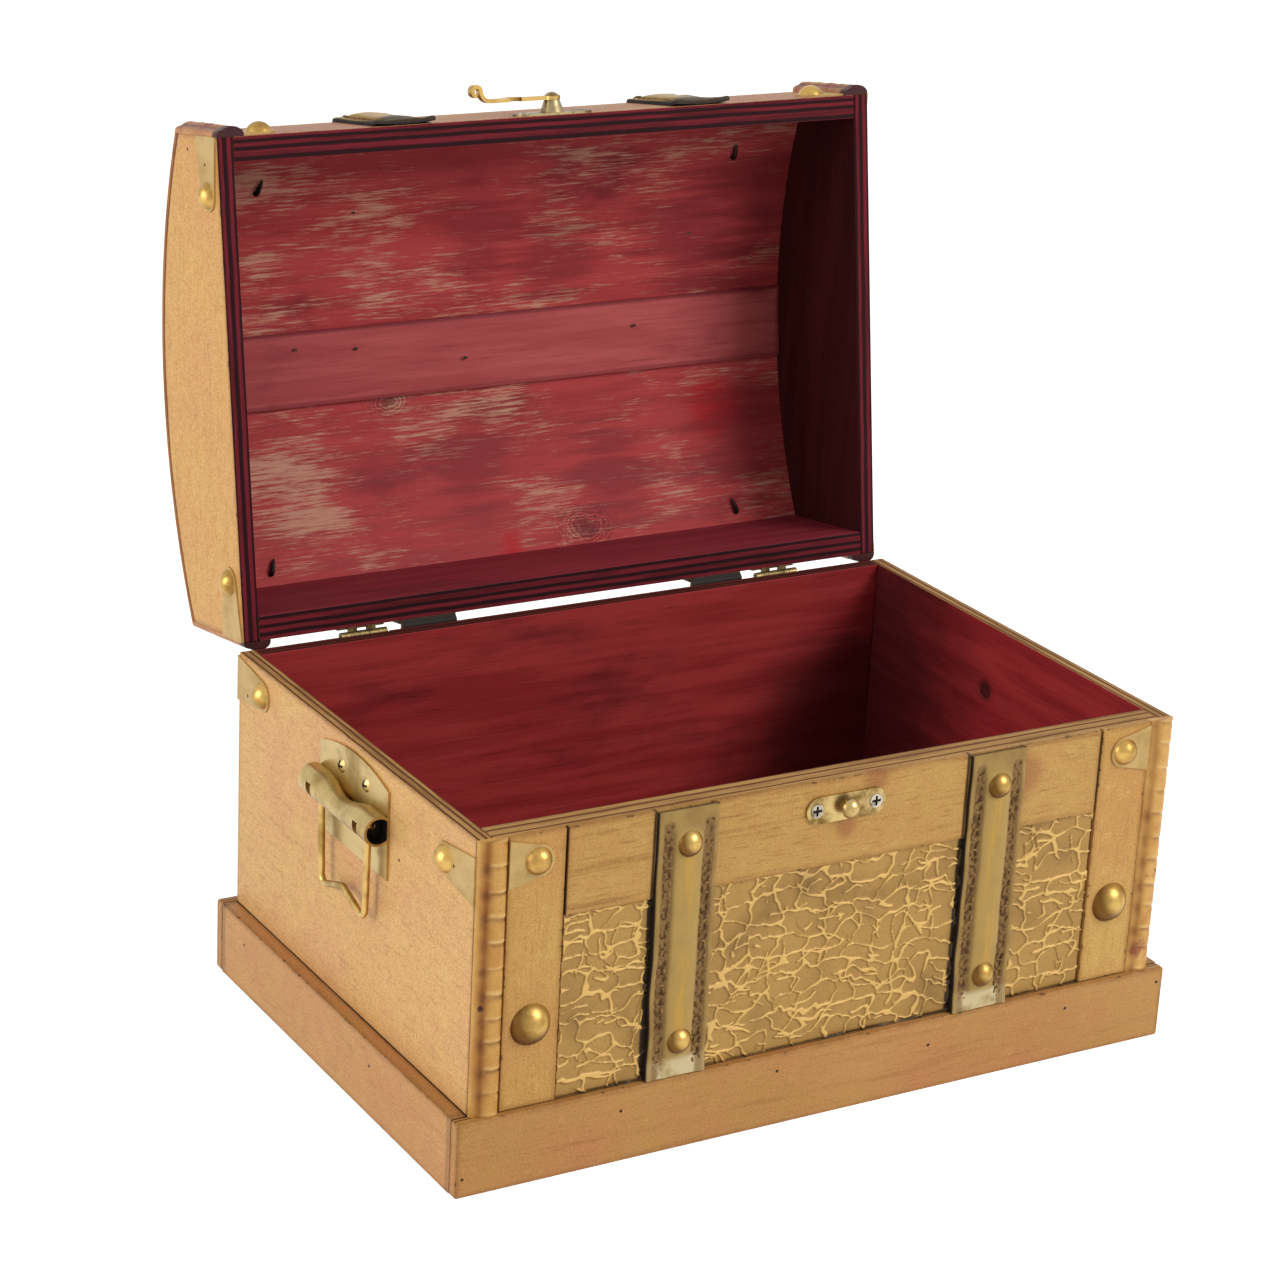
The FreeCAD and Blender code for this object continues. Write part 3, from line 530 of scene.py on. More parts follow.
@dataclass(frozen=True)
class Board:
    """A board's box: its lowest and highest corner in metres, for lid boards with the lid closed."""

    low: Triple
    high: Triple
    on_lid: bool

    @classmethod
    def of(cls, node: str, on_lid: bool) -> Board:
        """Reads the box of a CAD node.

        Args:
            node: the node's name.
            on_lid: whether the node is part of the lid.

        Returns:
            The board.
        """
        pin = Vector((0.0, PIN_Y, PIN_Z)) * MM
        swing = Matrix.Translation(pin) @ Matrix.Rotation(OPENING, 4, "X") @ Matrix.Translation(-pin)
        turn = swing if on_lid else Matrix.Identity(4)
        points = np.array([turn @ vertex.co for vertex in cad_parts[node].data.vertices])
        low = points.min(axis=0)
        high = points.max(axis=0)
        return cls(tuple(map(float, low)), tuple(map(float, high)), on_lid)


@dataclass(frozen=True)
class DarkLine:
    """A dark line across an axis, for joints and for painted shadow: its place, half width and the height
    that it starts at, in mm.
    """

    axis: int
    at: float
    half: float
    strength: float = 0.92
    above: float = -1.0


@dataclass(frozen=True)
class GoldPaint:
    """Speckled gold paint over a board, darker and browner along its edges and joints, with lines of painted
    shadow where given.
    """

    base: Colour = tint(198, 154, 82)
    warm: Colour = tint(200, 148, 84)
    pale: Colour = tint(220, 180, 106)
    brown: Colour = tint(140, 92, 40)
    blush: Colour = tint(190, 138, 76)
    stain: Colour = tint(134, 58, 42)
    dark_mark: Colour = tint(62, 36, 16)
    grain: float = 0.25
    flecks: float = 0.22
    edge: float = 0.75
    chips: float = 0.7
    smudge: float = 0.0
    along: Axis = Axis.X
    spots: tuple[tuple[Triple, float], ...] = ()
    dark_lines: tuple[DarkLine, ...] = ()
    rounded: bool = False

    def material(self, name: str, board: Board) -> bpy.types.Material:
        """Mixes the paint for one board.

        Args:
            name: the material's name.
            board: the board that it is for.

        Returns:
            The material.
        """
        graph = Graph(name)
        place = graph.place()
        speck = graph.noise(place, 1300.0, 2.0, 0.7)
        mottle = graph.noise(place, 170.0, 5.0, 0.68)
        cloud = graph.noise(place, 26.0, 4.0, 0.6)
        patch = graph.noise(place, 9.0, 2.0, 0.5)
        runs = tuple(8.0 if part else 150.0 for part in self.along.value)
        fibre = graph.noise(graph.stretch(place, runs), 1.6, 5.0, 0.65)
        short = tuple(85.0 if part else 900.0 for part in self.along.value)
        fleck = graph.noise(graph.stretch(place, short), 1.0, 3.0, 0.6)
        colour = graph.mix(graph.fade(cloud, 0.35, 0.68), self.base, self.warm)
        colour = graph.mix(graph.fade(patch, 0.45, 0.75, 0.0, 0.55), colour, self.pale)
        colour = graph.mix(graph.fade(fibre, 0.52, 0.72, 0.0, self.grain), colour, self.brown)
        colour = graph.mix(graph.fade(mottle, 0.50, 0.68, 0.0, 0.45), colour, self.blush)
        colour = graph.mix(graph.fade(mottle, 0.46, 0.30, 0.0, 0.45), colour, self.pale)
        colour = graph.mix(graph.fade(fleck, 0.54, 0.68, 0.0, self.flecks), colour, self.brown)
        colour = graph.mix(graph.fade(speck, 0.50, 0.68, 0.0, 0.36), colour, self.brown)
        colour = graph.mix(graph.fade(speck, 0.46, 0.30, 0.0, 0.46), colour, self.pale)
        read = graph.closed_place() if board.on_lid else place
        edge = graph.edge_distance(read, board.low, board.high)
        ragged = graph.math("ADD", edge, graph.math("MULTIPLY", mottle, 0.0046))
        colour = graph.mix(graph.fade(ragged, 0.0014, 0.0048, self.edge, 0.0), colour, self.brown)
        flake = graph.math("MULTIPLY", graph.noise(place, 240.0, 3.0, 0.6), 0.0075)
        nick = graph.math("SUBTRACT", flake, edge)
        colour = graph.mix(graph.fade(nick, 0.0040, 0.0046, 0.0, self.chips), colour, self.dark_mark)
        for dark_line in self.dark_lines:
            away = graph.math("ABSOLUTE", graph.math("SUBTRACT", graph.split(read)[dark_line.axis], dark_line.at * MM))
            away = graph.math("ADD", away, graph.math("MULTIPLY", cloud, dark_line.half * MM))
            line = graph.fade(away, 0.6 * dark_line.half * MM, 1.5 * dark_line.half * MM, dark_line.strength, 0.0)
            if dark_line.above > 0.0:
                start = graph.fade(graph.split(read)[2], dark_line.above * MM, (dark_line.above + 0.4) * MM)
                line = graph.math("MULTIPLY", line, start)
            colour = graph.mix(line, colour, self.dark_mark)
        if self.rounded:
            middle = (0.0, (PIN_Y + DOME_ALONG) * MM, (PIN_Z + DOME_UP) * MM)
            flat = graph.stretch(graph.vector("SUBTRACT", read, middle).outputs[0], (0.0, 1.0, 1.0))
            reach = graph.vector("LENGTH", flat, (0.0, 0.0, 0.0)).outputs["Value"]
            reach = graph.math("ADD", reach, graph.math("MULTIPLY", cloud, 0.0012))
            line = graph.fade(reach, (DOME_INSIDE - 1.0) * MM, (DOME_INSIDE + 0.2) * MM, 0.0, 0.9)
            colour = graph.mix(line, colour, self.dark_mark)
        if self.smudge:
            mess = graph.noise(place, 55.0, 5.0, 0.7)
            colour = graph.mix(graph.fade(mess, 0.60, 0.70, 0.0, self.smudge), colour, self.stain)
        for middle, radius in self.spots:
            mark = graph.spot(place, middle, radius, mottle)
            colour = graph.mix(graph.math("MULTIPLY", mark, 0.45), colour, self.stain)
        rough = graph.fade(speck, 0.35, 0.65, 0.38, 0.62)
        height = graph.math("ADD", speck, graph.math("MULTIPLY", fibre, 1.5))
        normal = graph.bump(height, 0.10)
        return graph.surface(
            Base_Color=colour, Roughness=rough, Metallic=0.15, Specular_IOR_Level=0.25, Normal=normal
        )


@dataclass(frozen=True)
class Knot:
    """A knot, or another round mark on a board: its middle and reach in millimetres."""

    middle: Triple
    radius: float


@dataclass(frozen=True)
class RedStain:
    """Red stain that has sunk unevenly into the wood, with pale streaks where it never took. Its dark pools
    are partly painted shade and partly deeper stain; a given board gets painted shade along its edges.
    """

    deep: Colour = tint(96, 20, 30)
    base: Colour = tint(142, 38, 46)
    bright: Colour = tint(168, 52, 60)
    bare: Colour = tint(203, 151, 125)
    worn: float = 0.0
    uneven: float = 0.5
    pool_darkness: float = 0.8
    streaky: float = 0.0
    along: Axis = Axis.X
    raw: Colour = tint(184, 24, 34)
    ring: Colour = tint(42, 9, 11)
    knots: tuple[Knot, ...] = ()
    shade_and_stain_pools: tuple[Knot, ...] = ()
    drops: tuple[Knot, ...] = ()
    rubs: tuple[Knot, ...] = ()

    def material(self, name: str, board: Board | None = None) -> bpy.types.Material:
        """Mixes the stain.

        Args:
            name: the material's name.
            board: a board that gets painted shade along its edges.

        Returns:
            The material.
        """
        graph = Graph(name)
        place = graph.place()
        rings = None
        near = None
        for knot in self.knots:
            core = tuple(part * MM for part in knot.middle)
            squeeze = tuple(0.7 if part else 1.0 for part in self.along.value)
            offset = graph.stretch(graph.vector("SUBTRACT", place, core).outputs[0], squeeze)
            away = graph.vector("LENGTH", offset, (0.0, 0.0, 0.0)).outputs["Value"]
            wander = graph.math("MULTIPLY", graph.noise(place, 75.0, 4.0, 0.65), 0.9 * knot.radius * MM)
            uneven = graph.math("ADD", away, wander)
            ring_near = graph.fade(uneven, 0.6 * knot.radius * MM, 1.4 * knot.radius * MM, 1.0, 0.0)
            near = ring_near if near is None else graph.math("MAXIMUM", near, ring_near)
            wave = graph.math("SINE", graph.math("MULTIPLY", uneven, 3600.0))
            ring = graph.math("MULTIPLY", ring_near, graph.fade(wave, -0.2, 0.9))
            heart = graph.fade(uneven, 0.45 * knot.radius * MM, 0.75 * knot.radius * MM, 1.0, 0.0)
            ring = graph.math("MAXIMUM", ring, heart)
            rings = ring if rings is None else graph.math("MAXIMUM", rings, ring)
        runs = tuple(9.0 if part else 110.0 for part in self.along.value)
        threads = tuple(34.0 if part else 900.0 for part in self.along.value)
        drift = tuple(13.0 if part else 30.0 for part in self.along.value)
        grain = graph.noise(graph.stretch(place, runs), 1.2, 5.0, 0.6)
        fine = graph.noise(graph.stretch(place, threads), 1.0, 5.0, 0.7)
        cloud = graph.noise(graph.stretch(place, drift), 1.0, 4.0, 0.62)
        colour = graph.mix(graph.fade(grain, 0.38, 0.62), self.base, self.bright)
        colour = graph.mix(graph.fade(cloud, 0.46, 0.26, 0.0, self.uneven), colour, self.deep)
        colour = graph.mix(graph.fade(fine, 0.46, 0.28, 0.0, 0.45), colour, self.deep)
        if self.worn:
            moved = graph.vector("ADD", graph.stretch(place, drift), (3.7, 1.9, 5.3)).outputs[0]
            patch = graph.noise(moved, 1.25, 4.0, 0.62)
            short = tuple(70.0 if part else 1300.0 for part in self.along.value)
            hairs = graph.noise(graph.stretch(place, short), 1.0, 4.0, 0.75)
            gap = graph.math("ADD", patch, graph.math("MULTIPLY", hairs, 1.15))
            if near is not None:
                gap = graph.math("ADD", gap, graph.math("MULTIPLY", near, 0.14))
            for rub in self.rubs:
                mark = graph.spot(place, rub.middle, rub.radius, grain, 2.0)
                gap = graph.math("ADD", gap, graph.math("MULTIPLY", mark, 0.12))
            bare = graph.fade(gap, 1.13, 1.38, 0.0, self.worn)
            colour = graph.mix(bare, colour, self.bare)
        for drop in self.drops:
            mark = graph.spot(place, drop.middle, drop.radius, cloud)
            colour = graph.mix(graph.math("MULTIPLY", mark, 0.75), colour, self.raw)
        if rings is not None:
            colour = graph.mix(graph.math("MULTIPLY", rings, 0.75), colour, self.ring)
        # painted shade along the board's edges
        if board is not None:
            read = graph.closed_place() if board.on_lid else place
            edge = graph.edge_distance(read, board.low, board.high)
            colour = graph.mix(graph.fade(edge, 0.0004, 0.0022, 0.85, 0.0), colour, self.deep)
        # dark pools: painted shade where shadow falls, deeper stain elsewhere
        for dark_patch in self.shade_and_stain_pools:
            ragged = (grain, self.streaky) if self.streaky else (cloud, 1.0)
            mark = graph.spot(place, dark_patch.middle, dark_patch.radius, *ragged)
            colour = graph.mix(graph.math("MULTIPLY", mark, self.pool_darkness), colour, self.deep)
        rough = graph.fade(grain, 0.3, 0.7, 0.55, 0.72)
        normal = graph.bump(graph.math("ADD", fine, grain), 0.12)
        return graph.surface(Base_Color=colour, Roughness=rough, Specular_IOR_Level=0.2, Normal=normal)


@dataclass(frozen=True)
class PlyEdge:
    """The cut edge of a layered board, with its glue lines, one of which can be a line of painted shadow."""

    wood: Colour
    line: Colour
    glue_and_shadow_lines: tuple[tuple[float, float], ...]

    def material(self, name: str, board: Board, across: int) -> bpy.types.Material:
        """Draws the edge of one board.

        Args:
            name: the material's name.
            board: the board that it is for.
            across: the axis that the layers lie across, 0 to 2.

        Returns:
            The material.
        """
        graph = Graph(name)
        place = graph.closed_place() if board.on_lid else graph.place()
        wander = graph.noise(place, 60.0, 3.0)
        runs = tuple(25.0 if axis == 1 - across else 420.0 for axis in range(3))
        fibre = graph.noise(graph.stretch(place, runs), 1.0, 5.0, 0.7)
        where = graph.split(place)[across]
        shifted = graph.math("ADD", where, graph.math("MULTIPLY", wander, 0.0008))
        colour = graph.mix(graph.fade(fibre, 0.42, 0.66, 0.0, 0.55), self.wood, self.line)
        for share, width in self.glue_and_shadow_lines:
            middle = board.low[across] + share * (board.high[across] - board.low[across]) + 0.0004
            away = graph.math("ABSOLUTE", graph.math("SUBTRACT", shifted, middle))
            line = graph.fade(away, 0.35 * width * MM, 0.65 * width * MM, 0.95, 0.0)
            colour = graph.mix(line, colour, self.line)
        normal = graph.bump(fibre, 0.25)
        return graph.surface(Base_Color=colour, Roughness=0.7, Specular_IOR_Level=0.12, Normal=normal)


@dataclass(frozen=True)
class Brass:
    """Brass that has gone brown in places, and where a light is given, painted shade on the faces turned from
    it.
    """

    bright: Colour = tint(196, 160, 84)
    aged: Colour = tint(128, 104, 54)
    scale: float = 120.0
    shine: tuple[float, float] = (0.24, 0.42)
    metal: float = 1.0
    lit_from: Triple | None = None
    darkening: Colour = tint(96, 62, 26)

    def material(self, name: str) -> bpy.types.Material:
        """Mixes the metal.

        Args:
            name: the material's name.

        Returns:
            The material.
        """
        graph = Graph(name)
        place = graph.place()
        cloud = graph.noise(place, self.scale, 4.0, 0.65)
        colour = graph.mix(graph.fade(cloud, 0.40, 0.68), self.bright, self.aged)
        # painted shade: faces turned away from the given light take the darker colour
        if self.lit_from:
            normal = graph.add("NewGeometry", {}).outputs["Normal"]
            facing = graph.vector("DOT_PRODUCT", normal, self.lit_from).outputs["Value"]
            colour = graph.mix(graph.fade(facing, 0.93, 0.45, 0.0, 0.92), colour, self.darkening)
        rough = graph.fade(cloud, 0.35, 0.7, *self.shine)
        normal = graph.bump(graph.noise(place, 500.0, 2.0), 0.03)
        return graph.surface(Base_Color=colour, Roughness=rough, Metallic=self.metal, Normal=normal)


@dataclass(frozen=True)
class StrapLeather:
    """Painted leather: a smooth raised band with painted sheen on its crest, dark channels, pale worn ends,
    and dark sides of edge dye and painted shade.
    """

    edge: Colour = tint(168, 137, 76)
    channel: Colour = tint(138, 105, 60)
    band: Colour = tint(182, 148, 80)
    crest_sheen: Colour = tint(196, 154, 72)
    pale: Colour = tint(216, 198, 152)
    # dark edge dye, with painted shade on the sides and undersides
    side: Colour = tint(24, 16, 11)

    def material(self, name: str) -> bpy.types.Material:
        """Mixes the leather from the marks that the straps carry.

        Args:
            name: the material's name.

        Returns:
            The material.
        """
        graph = Graph(name)
        place = graph.place()
        cloud = graph.noise(place, 90.0, 4.0, 0.6)
        speck = graph.noise(place, 700.0, 2.0, 0.7)
        marks = {mark: graph.mark(mark) for mark in ("band", "channel", "pale", "side")}
        colour = graph.mix(graph.fade(cloud, 0.35, 0.7, 0.0, 0.6), self.edge, self.channel)
        ragged = graph.math("ADD", marks["channel"], graph.math("MULTIPLY", speck, 0.8))
        colour = graph.mix(graph.fade(ragged, 0.60, 1.10), colour, self.channel)
        smooth = graph.mix(graph.fade(cloud, 0.4, 0.7, 0.0, 0.55), self.band, self.edge)
        # painted sheen: lighter streaks along the top of the round band
        runs = graph.noise(graph.stretch(place, (260.0, 30.0, 30.0)), 1.0, 3.0, 0.6)
        crest = graph.math("MULTIPLY", graph.fade(marks["band"], 0.80, 1.0), graph.fade(runs, 0.42, 0.60))
        smooth = graph.mix(crest, smooth, self.crest_sheen)
        colour = graph.mix(graph.fade(marks["band"], 0.25, 0.75), colour, smooth)
        worn = graph.math("MULTIPLY", marks["pale"], graph.fade(cloud, 0.30, 0.55))
        colour = graph.mix(worn, colour, self.pale)
        # dark sides and undersides: edge dye and painted shade
        colour = graph.mix(marks["side"], colour, self.side)
        rough = graph.fade(marks["band"], 0.2, 0.8, 0.62, 0.36)
        normal = graph.bump(graph.math("ADD", cloud, speck), 0.18)
        return graph.surface(Base_Color=colour, Roughness=rough, Specular_IOR_Level=0.25, Normal=normal)


@dataclass(frozen=True)
class EmbossedFinish:
    """An olive sheet with light gold rubbed over its raised veins, painted shadow round the veins and left of
    the straps, and darker towards its bottom edge.
    """

    ground: Colour = tint(184, 144, 79)
    shade: Colour = tint(138, 102, 50)
    vein: Colour = tint(226, 184, 108)
    dirt_and_shade: Colour = tint(44, 26, 12)

    def material(self, name: str) -> bpy.types.Material:
        """Mixes the sheet's colours from how high its surface stands.

        Args:
            name: the material's name.

        Returns:
            The material.
        """
        graph = Graph(name)
        place = graph.place()
        speck = graph.noise(place, 900.0, 2.0, 0.7)
        cloud = graph.noise(place, 40.0, 3.0)
        vein = graph.mark("vein")
        colour = graph.mix(graph.fade(cloud, 0.35, 0.7, 0.0, 0.45), self.ground, self.shade)
        colour = graph.mix(graph.fade(speck, 0.5, 0.72, 0.0, 0.5), colour, self.shade)
        # painted shadow round the foot of each raised vein
        foot = graph.math("MULTIPLY", graph.fade(vein, 0.02, 0.20), graph.fade(vein, 0.20, 0.40, 0.55, 0.0))
        colour = graph.mix(foot, colour, self.shade)
        colour = graph.mix(graph.fade(vein, 0.45, 0.90), colour, self.vein)
        # painted shadow left of the straps, and darker towards the bottom edge
        dirt_and_shade = graph.math("ADD", graph.mark("dirt_and_shade"), cloud)
        colour = graph.mix(graph.fade(dirt_and_shade, 0.55, 1.0, 0.0, 0.95), colour, self.dirt_and_shade)
        normal = graph.bump(speck, 0.06)
        return graph.surface(
            Base_Color=colour, Roughness=0.46, Metallic=0.15, Specular_IOR_Level=0.25, Normal=normal
        )


@dataclass(frozen=True)
class BeadPaint:
    """Paint on a ribbed bead: painted shade in its trough and grooves, a painted highlight on the lip of each
    rib, red where it is rubbed.
    """

    base: Colour = tint(206, 158, 84)
    warm: Colour = tint(194, 138, 68)
    # painted highlight on each rib's lip
    lip: Colour = tint(236, 196, 126)
    # painted shade in the trough
    trough: Colour = tint(146, 88, 34)
    # painted shade in the trough and grooves
    dirt_and_shade: Colour = tint(92, 50, 14)
    rubbed: Colour = tint(140, 58, 50)
    cut: Colour = tint(58, 14, 18)
    wear: float = 0.45

    def material(self, name: str) -> bpy.types.Material:
        """Mixes the paint from the marks that the beads carry.

        Args:
            name: the material's name.

        Returns:
            The material.
        """
        graph = Graph(name)
        place = graph.place()
        speck = graph.noise(place, 1300.0, 2.0, 0.7)
        cloud = graph.noise(place, 70.0, 4.0, 0.6)
        mess = graph.noise(place, 42.0, 5.0, 0.7)
        marks = {mark: graph.mark(mark) for mark in ("lip", "trough", "dirt_and_shade", "foot", "cut")}
        colour = graph.mix(graph.fade(cloud, 0.35, 0.68), self.base, self.warm)
        colour = graph.mix(graph.fade(speck, 0.52, 0.70, 0.0, 0.35), colour, self.trough)
        # painted shade in the trough
        hollow_shade = graph.math("MULTIPLY", marks["trough"], graph.fade(cloud, 0.25, 0.50, 0.55, 1.0))
        colour = graph.mix(hollow_shade, colour, self.trough)
        # painted shade in the trough and grooves
        groove_shade = graph.math("MULTIPLY", marks["dirt_and_shade"], graph.fade(mess, 0.35, 0.55))
        colour = graph.mix(groove_shade, colour, self.dirt_and_shade)
        # painted highlight on each rib's lip
        colour = graph.mix(graph.math("MULTIPLY", marks["lip"], 0.7), colour, self.lip)
        seep = graph.math("ADD", marks["foot"], graph.fade(mess, 0.54, 0.66))
        colour = graph.mix(graph.fade(seep, 0.40, 1.10, 0.0, self.wear), colour, self.rubbed)
        colour = graph.mix(marks["cut"], colour, self.cut)
        rough = graph.fade(speck, 0.35, 0.65, 0.34, 0.55)
        normal = graph.bump(graph.math("ADD", speck, cloud), 0.08)
        return graph.surface(
            Base_Color=colour, Roughness=rough, Metallic=0.1, Specular_IOR_Level=0.25, Normal=normal
        )


@dataclass(frozen=True)
class PlainDark:
    """Thread, iron nails and other small dark things."""

    base: Colour
    other: Colour
    rough: float = 0.7
    metal: float = 0.0

    def material(self, name: str) -> bpy.types.Material:
        """Mixes the finish.

        Args:
            name: the material's name.

        Returns:
            The material.
        """
        graph = Graph(name)
        cloud = graph.noise(graph.place(), 350.0, 3.0)
        colour = graph.mix(graph.fade(cloud, 0.4, 0.65), self.base, self.other)
        normal = graph.bump(cloud, 0.15)
        return graph.surface(
            Base_Color=colour,
            Roughness=self.rough,
            Metallic=self.metal,
            Specular_IOR_Level=0.2,
            Normal=normal,
        )


Rule = tuple[bpy.types.Material, Vector]


def dress(node: str, main: bpy.types.Material, rules: Sequence[Rule] = (), turn: float = 0.7) -> None:
    """Gives a CAD node its finishes, by the way its faces point.

    Args:
        node: the node's name.
        main: the finish of every face that no rule takes.
        rules: a finish and the direction that its faces point in.
        turn: how closely a face has to point that way, as a cosine.
    """
    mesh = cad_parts[node].data
    mesh.materials.clear()
    mesh.materials.append(main)
    for material, _ in rules:
        mesh.materials.append(material)
    for face in mesh.polygons:
        face.material_index = 0
        for step, (_, direction) in enumerate(rules):
            if face.normal.dot(direction) > turn:
                face.material_index = step + 1
    LOG.info("%s dressed", node)


def soften(node: str, width: float) -> None:
    """Takes the sharpness off a board's edges.

    Args:
        node: the board's node.
        width: how much is taken off, in millimetres.
    """
    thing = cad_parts[node]
    weld = thing.modifiers.new("weld", "WELD")
    weld.merge_threshold = WELD_GAP * MM
    bevel = thing.modifiers.new("edge", "BEVEL")
    bevel.width = width * MM
    bevel.segments = 2
    bevel.limit_method = "ANGLE"
    bevel.angle_limit = math.radians(SHARP_EDGE)
    bevel.use_clamp_overlap = True


WOOD_EDGE = tint(186, 142, 88)
WOOD_LINE = tint(98, 60, 34)
LID_EDGE = tint(116, 30, 40)
LID_LINE = tint(26, 5, 9)
REAR_EDGE = tint(96, 38, 30)
REAR_LINE = tint(40, 14, 12)


@dataclass
class Plinth:
    """The four boards that the box stands in."""

    edge_round: float = 0.8
    butt: float = 0.8
    darkening: float = 2.2
    grime_strength: float = 0.34
    front_paint: GoldPaint = GoldPaint(
        base=tint(184, 138, 76),
        warm=tint(190, 132, 80),
        pale=tint(200, 156, 92),
        grain=0.45,
        flecks=0.24,
        blush=tint(189, 133, 84),
        dark_lines=(DarkLine(1, -97.3, 0.5, above=27.9), DarkLine(1, 97.3, 0.5, above=27.9)),
    )
    end_paint: GoldPaint = GoldPaint(
        base=tint(197, 148, 88),
        warm=tint(196, 140, 88),
        pale=tint(210, 166, 104),
        blush=tint(186, 122, 84),
        along=Axis.Y,
        dark_lines=(DarkLine(0, -144.2, 0.5, above=27.9), DarkLine(0, 144.2, 0.5, above=27.9)),
    )

    def dress(self) -> None:
        """Paints the boards."""
        for side in ("front", "back", "left", "right"):
            node = "plinth_%s_board" % side
            board = Board.of(node, False)
            paint = self.front_paint
            if side in ("left", "right"):
                ends = (board.low[1] / MM, board.high[1] / MM)
                butts = [DarkLine(1, end, self.butt) for end in ends]
                for band in (ends[0] + self.darkening, ends[1] - self.darkening):
                    butts.append(DarkLine(1, band, self.darkening, self.grime_strength))
                paint = replace(self.end_paint, dark_lines=self.end_paint.dark_lines + tuple(butts))
            dress(node, paint.material(node, board))
            soften(node, self.edge_round)


@dataclass
class BoxShell:
    """The walls and floor of the box: painted outside, stained inside, with painted shade in the inner back
    right corner.
    """

    edge_round: float = 0.5
    butt: float = 0.9
    end_paint: GoldPaint = GoldPaint(
        base=tint(216, 171, 106),
        warm=tint(213, 161, 107),
        pale=tint(229, 189, 123),
        blush=tint(204, 140, 102),
        grain=0.15,
        along=Axis.Y,
        dark_lines=(DarkLine(2, 28.5, 0.6),),
    )
    front_paint: GoldPaint = GoldPaint()
    wall_stain_and_shade: RedStain = RedStain(
        deep=tint(58, 11, 14),
        base=tint(142, 37, 38),
        bright=tint(162, 50, 50),
        # painted shade in the box's inner back right corner
        shade_and_stain_pools=(Knot((138.0, 89.5, 60.0), 80.0),),
    )
    end_stain_and_shade: RedStain = RedStain(
        deep=tint(40, 8, 10),
        base=tint(146, 36, 40),
        bright=tint(166, 48, 50),
        along=Axis.Y,
        # the first pool is painted shade in the inner back right corner; the second darkens a knot
        shade_and_stain_pools=(Knot((138.0, 89.5, 80.0), 98.0), Knot((138.0, 10.0, 103.0), 5.5)),
        knots=(Knot((138.0, 10.0, 103.0), 7.0),),
    )
    rim: PlyEdge = PlyEdge(WOOD_EDGE, WOOD_LINE, ((0.14, 0.9), (0.60, 1.1), (0.97, 1.0)))
    rear_rim: PlyEdge = PlyEdge(REAR_EDGE, REAR_LINE, ((0.05, 1.4), (0.50, 1.0)))

    def dress(self) -> None:
        """Paints and stains the panels, with painted shade in the inner back right corner."""
        wall = self.wall_stain_and_shade.material("box_wall_stain_and_shade")
        end = self.end_stain_and_shade.material("box_end_stain_and_shade")
        inward = {"front": BACK, "back": FRONT, "left": RIGHT, "right": LEFT}
        for side, direction in inward.items():
            node = "%s_panel" % side
            board = Board.of(node, False)
            on_end = side in ("left", "right")
            finish = self.front_paint
            if on_end:
                butt = DarkLine(1, board.low[1] / MM, self.butt)
                finish = replace(self.end_paint, dark_lines=self.end_paint.dark_lines + (butt,))
            paint = finish.material(node, board)
            edge = self.rear_rim if side == "back" else self.rim
            rim = edge.material(node + "_rim", board, 0 if on_end else 1)
            dress(node, paint, ((end if on_end else wall, direction), (rim, UP)))
            soften(node, self.edge_round)
        dress("bottom_panel", wall)


@dataclass
class FrontTrim:
    """The stiles and the rail."""

    edge_round: float = 0.4
    butts: tuple[float, float] = (0.7, 0.6)
    stile_paint: GoldPaint = GoldPaint(
        grain=0.15,
        along=Axis.Z,
        edge=0.6,
        dark_lines=(DarkLine(2, 28.5, 0.6),),
    )
    rail_paint: GoldPaint = GoldPaint(
        grain=0.7,
        flecks=0.42,
        edge=0.6,
        base=tint(195, 152, 84),
        warm=tint(191, 145, 80),
        pale=tint(211, 170, 98),
        spots=(((12.0, -97.7, 128.5), 8.0), ((1.0, -97.7, 111.0), 6.0), ((74.0, -97.7, 118.0), 14.0)),
        # the lines at x -77.2 and 51.8 are the straps' painted shadows on the rail
        dark_lines=(DarkLine(0, -77.2, 0.9), DarkLine(0, 51.8, 0.9)),
    )

    def dress(self) -> None:
        """Paints the stiles and the rail."""
        for node in ("left_stile", "right_stile"):
            dress(node, self.stile_paint.material(node, Board.of(node, False)))
            soften(node, self.edge_round)
        board = Board.of("top_rail", False)
        ends = (board.low[0] / MM, board.high[0] / MM)
        butts = tuple(DarkLine(0, end, half) for end, half in zip(ends, self.butts))
        paint = replace(self.rail_paint, dark_lines=self.rail_paint.dark_lines + butts)
        dress("top_rail", paint.material("top_rail", board))
        soften("top_rail", self.edge_round)


@dataclass(frozen=True)
class VeinNet:
    """A net of veins: how wide, long and loose its cells are, what share stays, and in which patches."""

    seed: int
    cell: float
    flat: float
    keep: float
    loose: float
    patch_seed: int = 0
    patch_size: float = 0.0
    patch_edge: tuple[float, float] = (0.0, 1.0)


